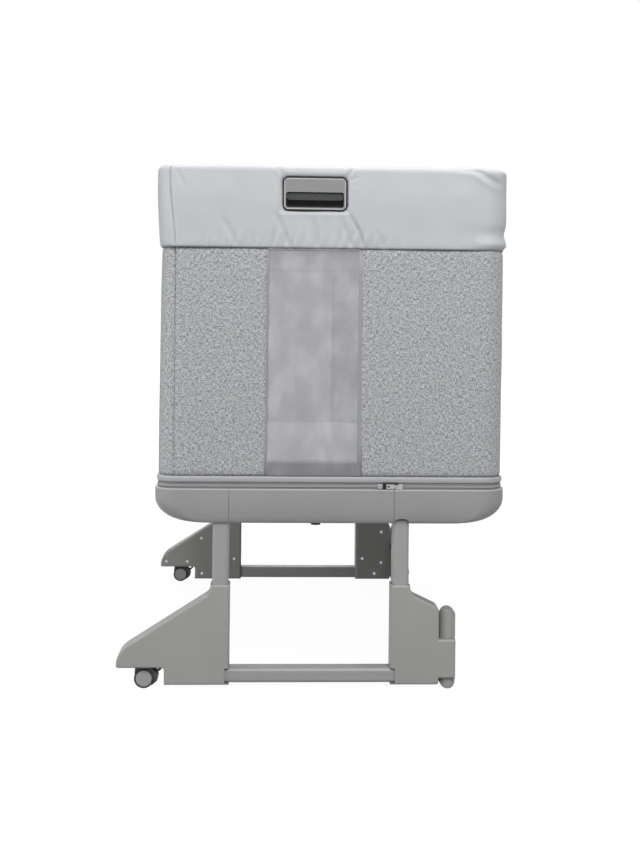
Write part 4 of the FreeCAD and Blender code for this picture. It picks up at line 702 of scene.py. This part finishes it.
def mirrored_end(outline):
    """The same outline at the far end, run the other way so that its right still looks outwards."""
    points = outline[0][::-1] * np.array([1, -1])
    length = outline[1][-1] - outline[1][::-1]
    return points, length


RUN = 0.05
ARC = CORNER - 0.0008
near_outer = plan([(LEFT, NEAR + ARC + RUN), (LEFT, NEAR), (RIGHT, NEAR), (RIGHT, INNER_NEAR)], ARC, 0.0036)
near_inner = plan(
    [(INNER_LEFT, INNER_NEAR), (INNER_RIGHT, INNER_NEAR), (INNER_RIGHT + 0.0001, INNER_NEAR + 0.0006)], 0.0003, 0.004,
)


def near_seam(z):
    return seam_place(z, RUN, ARC)


def far_seam(z):
    return near_outer[1][-1] - seam_place(z, RUN, ARC)


band_piece("band_cover_near", near_outer, near_inner, near_relief, (near_seam, None), HOLE, nodes=["near_band"])
band_piece(
    "band_cover_far", mirrored_end(near_outer), mirrored_end(near_inner), near_relief, (None, far_seam), HOLE,
    nodes=["far_band"],
)
left_outer = plan(
    [(INNER_LEFT, -NEAR), (LEFT, -NEAR), (LEFT, NEAR), (INNER_LEFT, NEAR)], ARC, 0.0040,
)
left_inner = plan([(INNER_LEFT, -INNER_NEAR), (INNER_LEFT, INNER_NEAR)], 0.001, 0.01)
CORNER_RUN = ARC * PI / 2 + (INNER_LEFT - LEFT - ARC)


def left_start(z):
    return CORNER_RUN + RUN - seam_place(z, RUN, ARC)


def left_end(z):
    return left_outer[1][-1] - left_start(z)


band_piece(
    "band_cover_left", left_outer, left_inner, left_relief, (left_start, left_end), pitch=0.0042, nodes=["left_band"],
)
drop_near = right_box[0].y
right_outer = plan([(RIGHT, drop_near), (RIGHT, -drop_near)], 0.001, 0.0042)
right_inner = plan([(INNER_RIGHT, drop_near), (INNER_RIGHT, -drop_near)], 0.001, 0.0042)
band_piece(
    "band_cover_right", right_outer, right_inner, right_relief, pitch=0.0042, body="drop_side", nodes=["right_band"],
)


def bezel_gasket(end):
    """The dark lip between a handle's bezel and the cloth: an oval section carried round a rounded rectangle."""
    low_x, high_x, low_z, high_z = BEZEL
    grow = 0.0013
    line, _ = plan(
        [(low_x - grow, low_z - grow), (high_x + grow, low_z - grow), (high_x + grow, high_z + grow),
         (low_x - grow, high_z + grow)], 0.0092, 0.003, closed=True,
    )
    facing = sides_of(line, closed=True)
    t = np.linspace(0, 2 * PI, 13)[:-1]
    x = line[:, None, 0] + facing[:, None, 0] * 0.0011 * np.cos(t)
    z = line[:, None, 1] + facing[:, None, 1] * 0.0011 * np.cos(t)
    y = (NEAR + 0.0032 + 0.0022 * np.sin(t)) + 0 * x
    if end == "far":
        y = -y
    piece = build(f"{end}_bezel_gasket", np.stack([x, y, z], -1), grid_faces(*x.shape, True, True))
    fix_normals(piece)
    dress(piece, pad_rubber)


def fix_normals(piece, merge=None):
    """Turns every face outwards, after joining the points that are nearer than merge."""
    work = bmesh.new()
    work.from_mesh(piece.data)
    if merge is not None:
        bmesh.ops.remove_doubles(work, verts=work.verts, dist=merge)
    bmesh.ops.recalc_face_normals(work, faces=work.faces)
    work.to_mesh(piece.data)
    work.free()


for end in ("near", "far"):
    bezel_gasket(end)

# ---------------------------------------------------------------- fabric walls and mesh windows

WALL_LOW, WALL_HIGH, WALL_PITCH = 0.384, 0.801, 0.006
wall_left_box, wall_right_box, window_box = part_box("left_wall"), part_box("right_wall"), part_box("mesh_windows")
WALL_LEFT, WALL_RIGHT, WALL_NEAR = wall_left_box[0].x, wall_right_box[1].x, wall_left_box[0].y
WINDOW_LEFT, WINDOW_RIGHT = window_box[0].x, window_box[1].x
WALL_ARC = 0.0365
WALL_SEAM = WALL_LEFT + WALL_ARC * (1 - math.cos(math.radians(80)))


def wall_piece(name, outline, material, relief, wall=0.0022, body="basin", nodes=()):
    """A taut wall of cloth: the outline carried straight up and moved outwards by its relief."""
    points, length = outline
    facing = sides_of(points)
    z = np.linspace(WALL_LOW, WALL_HIGH, int((WALL_HIGH - WALL_LOW) / WALL_PITCH) + 1)
    s = np.repeat(length[:, None], len(z), 1)
    zz = np.repeat(z[None], len(points), 0)
    lift = relief(s, zz, length[-1])
    x = points[:, None, 0] + facing[:, None, 0] * lift
    y = points[:, None, 1] + facing[:, None, 1] * lift
    uv = np.stack([s, zz], -1)
    piece = build(name, np.stack([x, y, zz], -1), grid_faces(len(points), len(z)), uv)
    thicken(piece, wall)
    dress(piece, material, body, nodes)
    return piece


def taut(seed, seams=(True, True), swell=0.0006, lean_in=0.0, lean_out=0.0, tuck=(0.014, 0.0030)):
    """A relief for a taut wall: slow waves, a tuck at the foot and head, and a pinch along each sewn side."""
    def relief(s, z, whole):
        high = (z - WALL_LOW) / (WALL_HIGH - WALL_LOW)
        lift = 0.0007 * wander(s + 0.3 * z, seed, 0.06) * wander(z, seed + 1, 0.09) + swell * np.sin(PI * high)
        head = smooth_step(WALL_HIGH - tuck[0], WALL_HIGH - 0.64 * tuck[0] + 0.004, z)
        lift = lift - 0.0020 * bell(z - WALL_LOW, 0.004) - tuck[1] * head
        if seams[0]:
            lift = lift - 0.0022 * bell(s, 0.0022) - 0.0006 * bell(s, 0.010)
        if seams[1]:
            lift = lift - 0.0022 * bell(s - whole, 0.0022) - 0.0006 * bell(s - whole, 0.010)
        return lift + lean_out * high - lean_in * high
    return relief


near_left_panel = plan([(WALL_SEAM, WALL_NEAR + 0.0005), (WINDOW_LEFT, WALL_NEAR)], 0.001, 0.006)
near_right_panel = plan([(WINDOW_RIGHT, WALL_NEAR), (WALL_RIGHT, WALL_NEAR), (WALL_RIGHT, INNER_NEAR)], WALL_ARC, 0.006)
window = plan([(WINDOW_LEFT, WALL_NEAR + 0.0004), (WINDOW_RIGHT, WALL_NEAR + 0.0004)], 0.001, 0.006)


def slack(s, z, whole):
    """The window's net: it bellies a little, most in its middle, with two soft diagonal draws."""
    high = (z - WALL_LOW) / (WALL_HIGH - WALL_LOW)
    belly = np.sin(PI * s / whole) * np.sin(PI * high)
    draw = 0.0007 * wander(s * 1.4 + 0.8 * z, 71, 0.035) * belly
    return -0.0012 * belly + draw


for end, turned in (("near", lambda o: o), ("far", mirrored_end)):
    flip = end == "far"
    wall_piece(
        f"{end}_wall_left", turned(near_left_panel), heather, taut(3 + flip, (not flip, flip)),
        nodes=[f"{end}_end_wall"],
    )
    wall_piece(
        f"{end}_wall_right", turned(near_right_panel), heather, taut(8 + flip, (flip, not flip), lean_out=0.0012),
    )
    wall_piece(
        f"{end}_window_net", turned(window), mesh_net, slack, wall=0.0007,
        nodes=["mesh_windows"],
    )
wall_left_line = trimmed(plan(
    [(INNER_LEFT, -WALL_NEAR), (WALL_LEFT, -WALL_NEAR), (WALL_LEFT, WALL_NEAR), (INNER_LEFT, WALL_NEAR)],
    WALL_ARC, 0.006,
), INNER_LEFT - WALL_LEFT - WALL_ARC + WALL_ARC * math.radians(10))
wall_piece("side_wall_left", wall_left_line, heather, taut(15, lean_in=0.0028), nodes=["left_wall"])
wall_right_line = plan([(WALL_RIGHT, wall_right_box[0].y), (WALL_RIGHT, wall_right_box[1].y)], 0.001, 0.007)
drop_wall = wall_piece(
    "side_wall_right", wall_right_line, heather, taut(19, lean_out=0.0012, tuck=(0.075, 0.0050)),
    nodes=["right_wall"],
)
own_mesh(drop_wall)


def ribbon(name, line, low, high, proud, wall, material):
    """A flat tape stood on edge along an outline, a little proud of the cloth under it, with rounded edges."""
    points, length = line
    facing = sides_of(points)
    t = np.linspace(0, 1, 9)
    z = low + (high - low) * t
    rounding = np.sqrt(np.clip(1 - (2 * t - 1) ** 6, 0, 1))
    s = np.repeat(length[:, None], len(z), 1)
    zz = np.repeat(z[None], len(points), 0)
    lift = proud * np.repeat(rounding[None], len(points), 0)
    x = points[:, None, 0] + facing[:, None, 0] * lift
    y = points[:, None, 1] + facing[:, None, 1] * lift
    piece = build(name, np.stack([x, y, zz], -1), grid_faces(len(points), len(z)), np.stack([s, zz], -1))
    thicken(piece, wall)
    dress(piece, material)


for end, turned in (("near", lambda o: o), ("far", mirrored_end)):
    left_edge = plan([(WINDOW_LEFT - 0.0016, WALL_NEAR), (WINDOW_LEFT + 0.0022, WALL_NEAR)], 0.001, 0.001)
    right_edge = plan([(WINDOW_RIGHT - 0.0072, WALL_NEAR), (WINDOW_RIGHT + 0.0016, WALL_NEAR)], 0.001, 0.001)
    head = plan([(WINDOW_LEFT, WALL_NEAR), (WINDOW_RIGHT, WALL_NEAR)], 0.001, 0.006)
    ribbon(f"{end}_binding_left", turned(left_edge), WALL_LOW, 0.800, 0.0003, 0.003, binding_cloth)
    ribbon(f"{end}_binding_right", turned(right_edge), WALL_LOW, 0.800, 0.0004, 0.003, binding_cloth)
    ribbon(f"{end}_binding_head", turned(head), 0.7905, 0.7965, 0.0003, 0.001, binding_cloth)
    ribbon(f"{end}_binding_foot", turned(head), WALL_LOW, WALL_LOW + 0.030, 0.0002, 0.0006, hem_net)

# ---------------------------------------------------------------- piping, zip tape and teeth


def roll(name, line, depth, low, high, material, nodes, seed, waver=0.0004, squareness=0.7):
    """A soft roll all round: a rounded section carried along the closed outline, its fullness wandering slightly."""
    points, length = line
    facing = sides_of(points, closed=True)
    t = np.linspace(0, 2 * PI, 25)[:-1]
    out = np.sign(np.cos(t)) * np.abs(np.cos(t)) ** squareness
    up = np.sign(np.sin(t)) * np.abs(np.sin(t)) ** squareness
    full = 1 + waver / depth * 2 * wander(length, seed, 0.03)[:, None]
    off = -depth / 2 + depth / 2 * out[None] * full
    x = points[:, None, 0] + facing[:, None, 0] * off
    y = points[:, None, 1] + facing[:, None, 1] * off
    z = np.broadcast_to((low + high) / 2 + (high - low) / 2 * up, x.shape)
    around = np.broadcast_to(t[None] / (2 * PI) * (depth + high - low) * 1.6, x.shape)
    uv = np.stack([np.broadcast_to(length[:, None], x.shape), around], -1)
    piece = build(name, np.stack([x, y, z], -1), grid_faces(*x.shape, True, True), uv)
    return dress(piece, material, nodes=nodes)


TRAY = (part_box("base_shell_left")[0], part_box("base_shell_right")[1])
ZIP_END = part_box("zip_pull")[0].x
ZIP_LOW, ZIP_MIDDLE, PIPING_LOW = 0.362, 0.3676, 0.3732


def ring(inset, radius, pitch):
    """The tray's outline drawn in by an inset, run anticlockwise."""
    left, right, near = TRAY[0].x + inset, TRAY[1].x - inset, TRAY[0].y + inset
    return plan([(left, near), (right, near), (right, -near), (left, -near)], radius, pitch, closed=True)


piping = roll(
    "piping_roll", ring(0.0025, 0.0395, 0.006), 0.008, PIPING_LOW, 0.3842, piping_cloth,
    ["bottom_piping"], 61,
)
roll(
    "zip_band", ring(0.005, 0.037, 0.008), 0.002, ZIP_LOW, PIPING_LOW - 0.0001, tape_cloth,
    ["zip_tape"], 63, 0.0, 0.25,
)


def zip_row():
    """The zip's teeth: small rounded wedges in two interleaved rows along the tape.

    Tooth k stands at distance k * 3.6 mm along the ring, 1.1 mm up or down by turns.
    """
    points, length = ring(0.0042, 0.0378, 0.002)
    facing = sides_of(points, closed=True)
    count = int(length[-1] / 0.0036)
    at = np.linspace(0, length[-1], count, endpoint=False)
    px, py, fx, fy = (np.interp(at, length, v) for v in (*points.T, *facing.T))
    size = np.hypot(fx, fy)
    fx, fy = fx / size, fy / size
    row = np.where(np.arange(len(px)) % 2 == 0, 1.0, -1.0)
    a = np.array([-1, 1, 1, -1, -1, 1, 1, -1]) * 0.00085
    b = np.array([0, 0, 0.75, 0.75, 0, 0, 0.75, 0.75]) * 0.0021 - 0.0011
    c = np.array([-1, -1, -0.5, -0.5, 1, 1, 0.5, 0.5]) * 0.0019
    x = px[:, None] - fy[:, None] * a + fx[:, None] * b
    y = py[:, None] + fx[:, None] * a + fy[:, None] * b
    z = ZIP_MIDDLE + 0.0001 + row[:, None] * 0.0011 + c[None] + 0 * x
    quads = np.array([[0, 1, 2, 3], [7, 6, 5, 4], [0, 4, 5, 1], [3, 2, 6, 7], [1, 5, 6, 2], [0, 3, 7, 4]])
    faces = (np.arange(len(px))[:, None, None] * 8 + quads[None]).reshape(-1, 4)
    piece = build("zip_teeth_row", np.stack([x, y, z], -1), faces, flat=True)
    fix_normals(piece)
    dress(piece, teeth_plastic, nodes=["zip_teeth"])


def lozenge(name, centre, size, roundness, material, body="basin"):
    """A small rounded block: the signed-power form of a sphere, so that its sides are nearly flat."""
    u = np.linspace(-PI / 2, PI / 2, 15)[:, None]
    v = np.linspace(-PI, PI, 29)[:-1][None]

    def power(value):
        return np.sign(value) * np.abs(value) ** roundness

    x = centre[0] + size[0] / 2 * power(np.cos(u)) * power(np.cos(v))
    y = centre[1] + size[1] / 2 * power(np.cos(u)) * power(np.sin(v))
    z = centre[2] + size[2] / 2 * power(np.sin(u)) * np.ones_like(v)
    piece = build(name, np.stack([x, y, z], -1), grid_faces(15, 28, False, True))
    fix_normals(piece, 1e-6)
    dress(piece, material, body)


# The nose is the slider's pale cloth stop; the throat and bridge are near-black blocks of painted shade in the zip's
# open end.
for part, across, up, size, roundness, material in (
    ("nose", -0.0110, 0.0, (0.0090, 0.0030, 0.0086), 0.3, piping_cloth),
    ("throat_shade", -0.0026, 0.0004, (0.0090, 0.0030, 0.0102), 0.3, painted_gap_shade),
    ("bridge_shade", 0.0095, 0.0041, (0.0260, 0.0030, 0.0027), 0.4, painted_gap_shade),
):
    centre = (ZIP_END + across, TRAY[0].y + 0.0020, ZIP_MIDDLE + up)
    lozenge(f"slider_{part}", centre, size, roundness, material, "zip_runner")
pull_low, pull_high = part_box("zip_pull")
pull_eye = (pull_low.x + 0.0034, pull_low.y + 0.0004, (pull_low.z + pull_high.z) / 2)
# A near-black block in the pull's hole: painted shade.
lozenge("zip_pull_eye_shade", pull_eye, (0.0028, 0.0012, 0.0028), 0.6, painted_gap_shade, "zip_puller")

# ---------------------------------------------------------------- mattress


QUILT = 0.09


def mattress():
    """The pad on the board: a rounded block whose top is crowned and quilted in diamonds, with a sewn edge roll.

    Its height over the board is the block's, less a fall towards the sides, plus the quilting's small pillows.
    """
    box_low, box_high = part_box("mattress")
    left, right, near, low, high = box_low.x + 0.0002, box_high.x - 0.0002, box_low.y + 0.0002, 0.3513, 0.4105
    points, _ = plan([(left, near), (right, near), (right, -near), (left, -near)], 0.045, 0.012, closed=True)
    facing = sides_of(points, closed=True)
    t = np.linspace(0, 1, 15)
    rise = (1 - np.cos(PI * t)) / 2
    swell = 0.004 * np.sin(PI * t) ** 0.6
    side_z = low + (high - 0.006 - low) * rise
    centre = np.array([(left + right) / 2, 0.0])
    rings, heights = [], []
    for k in range(4):
        rings.append(centre + (points - centre) * (0.2 + 0.8 * k / 4))
        heights.append(np.full(len(points), low))
    for k in range(len(t)):
        rings.append(points + facing * (swell[k] - 0.005))
        heights.append(np.full(len(points), side_z[k]))
    for k in range(40):
        share = 1 - (k + 1) / 41
        ring_ = centre + (points + facing * -0.008 - centre) * share
        across, along = ring_[:, 0], ring_[:, 1]
        pillow = np.abs(np.sin((across + along) * PI / QUILT) * np.sin((across - along) * PI / QUILT))
        edge = smooth_step(0, 0.06, (1 - share))
        rings.append(ring_)
        heights.append(high - 0.006 * (1 - edge) - 0.0045 * edge * (1 - pillow ** 0.45))
    plan_points = np.stack(rings)
    z = np.stack(heights)
    n = len(points)
    faces = grid_faces(len(rings), n, False, True)[:, ::-1]
    co = np.concatenate([plan_points, z[..., None]], -1).reshape(-1, 3)
    top, bottom = len(co), len(co) + 1
    co = np.concatenate([co, [[*centre, high - 0.002], [*centre, low]]])
    piece = build("mattress_pad", co, faces, np.concatenate([plan_points.reshape(-1, 2), [centre, centre]]))
    work = bmesh.new()
    work.from_mesh(piece.data)
    work.verts.ensure_lookup_table()
    last = (len(rings) - 1) * n
    for k in range(n):
        work.faces.new([work.verts[last + k], work.verts[last + (k + 1) % n], work.verts[top]])
        work.faces.new([work.verts[(k + 1) % n], work.verts[k], work.verts[bottom]])
    bmesh.ops.recalc_face_normals(work, faces=work.faces)
    for face in work.faces:
        face.smooth = True
    work.to_mesh(piece.data)
    work.free()
    dress(piece, pad_cloth, nodes=["mattress"])


mattress()

# ---------------------------------------------------------------- camera, floor and light

camera_data = bpy.data.cameras.new("camera")
camera = bpy.data.objects.new("camera", camera_data)
bpy.context.scene.collection.objects.link(camera)
bpy.context.scene.camera = camera
camera_data.sensor_width = 36
camera_data.sensor_fit = "AUTO"
camera_data.lens = 50.41
camera_data.clip_end = 60
camera_data.shift_y = -0.12
camera.location = (-0.0810, -2.6125, 0.6635)
camera.rotation_mode = "XYZ"
camera.rotation_euler = (math.radians(90 - 0.13), math.radians(-0.626), math.radians(-2.395))


def floor_material():
    """A white floor: the lens and mirrors see it white, less a share of the shade that falls on it."""
    p = Paint("floor_white")
    p.finish((0.33, 0.33, 0.33), 0.9, None, Specular_IOR_Level=0.0)
    rays = p.node("ShaderNodeLightPath")
    mirrored = p.math("MAXIMUM", rays.outputs["Is Glossy Ray"], rays.outputs["Is Transmission Ray"])
    seen = p.math("MAXIMUM", rays.outputs["Is Camera Ray"], mirrored)
    glow = p.node("ShaderNodeEmission", Color=(1, 1, 1), Strength=1.12)
    away = p.node("ShaderNodeVectorMath", {"operation": "LENGTH"})
    p.feed(away.inputs[0], p.object_place())
    share = p.math("MULTIPLY", seen, p.spread(away.outputs["Value"], 0.9, 2.4, 0.86, 1.0))
    mixed = p.node("ShaderNodeMixShader", Fac=share)
    p.tree.links.new(p.shader.outputs[0], mixed.inputs[1])
    p.tree.links.new(glow.outputs[0], mixed.inputs[2])
    p.tree.links.new(mixed.outputs[0], p.out.inputs["Surface"])
    return p.material


def floor_piece():
    """A flat square floor."""
    x, y = np.meshgrid([-20.0, 20.0], [-20.0, 20.0])
    piece = build("floor", np.stack([x, y, 0 * x - 0.0002], -1), [[0, 1, 3, 2]])
    piece.data.materials.append(floor_material())


floor_piece()

world = bpy.data.worlds.new("studio")
bpy.context.scene.world = world
world.use_nodes = True
tree = world.node_tree
plain = tree.nodes["Background"]
plain.inputs[0].default_value = (1, 1, 1, 1)
plain.inputs[1].default_value = 0.11
white = tree.nodes.new("ShaderNodeBackground")
white.inputs[0].default_value = (1, 1, 1, 1)
white.inputs[1].default_value = 1.0
path = tree.nodes.new("ShaderNodeLightPath")
either = tree.nodes.new("ShaderNodeMath")
either.operation = "MAXIMUM"
blend = tree.nodes.new("ShaderNodeMixShader")
tree.links.new(path.outputs["Is Camera Ray"], either.inputs[0])
tree.links.new(path.outputs["Is Transmission Ray"], either.inputs[1])
tree.links.new(either.outputs[0], blend.inputs[0])
tree.links.new(plain.outputs[0], blend.inputs[1])
tree.links.new(white.outputs[0], blend.inputs[2])
tree.links.new(blend.outputs[0], tree.nodes["World Output"].inputs["Surface"])


def softbox(name, place, aim, size, power):
    """A square lamp of that size, facing the point it is aimed at."""
    data = bpy.data.lights.new(name, "AREA")
    data.shape = "SQUARE"
    data.size = size
    data.energy = power
    lamp = bpy.data.objects.new(name, data)
    bpy.context.scene.collection.objects.link(lamp)
    lamp.location = place
    lamp.rotation_euler = (Vector(aim) - Vector(place)).to_track_quat("-Z", "Y").to_euler()
    lamp.visible_camera = False


softbox("key", (0.5, -3.0, 2.9), (0.0, -0.1, 0.55), 2.2, 121)
softbox("overhead", (0.1, 0.2, 3.2), (0.0, 0.0, 0.0), 2.2, 60)
softbox("room_side", (-3.1, -1.3, 1.9), (-0.2, -0.2, 0.4), 1.6, 46)
softbox("toe", (-1.5, -0.35, 0.35), (-0.3, 0.42, 0.08), 0.5, 2.3)
softbox("bed_side", (3.2, -0.2, 1.3), (0.0, 0.0, 0.5), 1.8, 4)
softbox("behind", (-0.6, 3.4, 1.8), (0.0, 0.0, 0.5), 2.2, 40)

bpy.context.scene.view_settings.view_transform = "Standard"
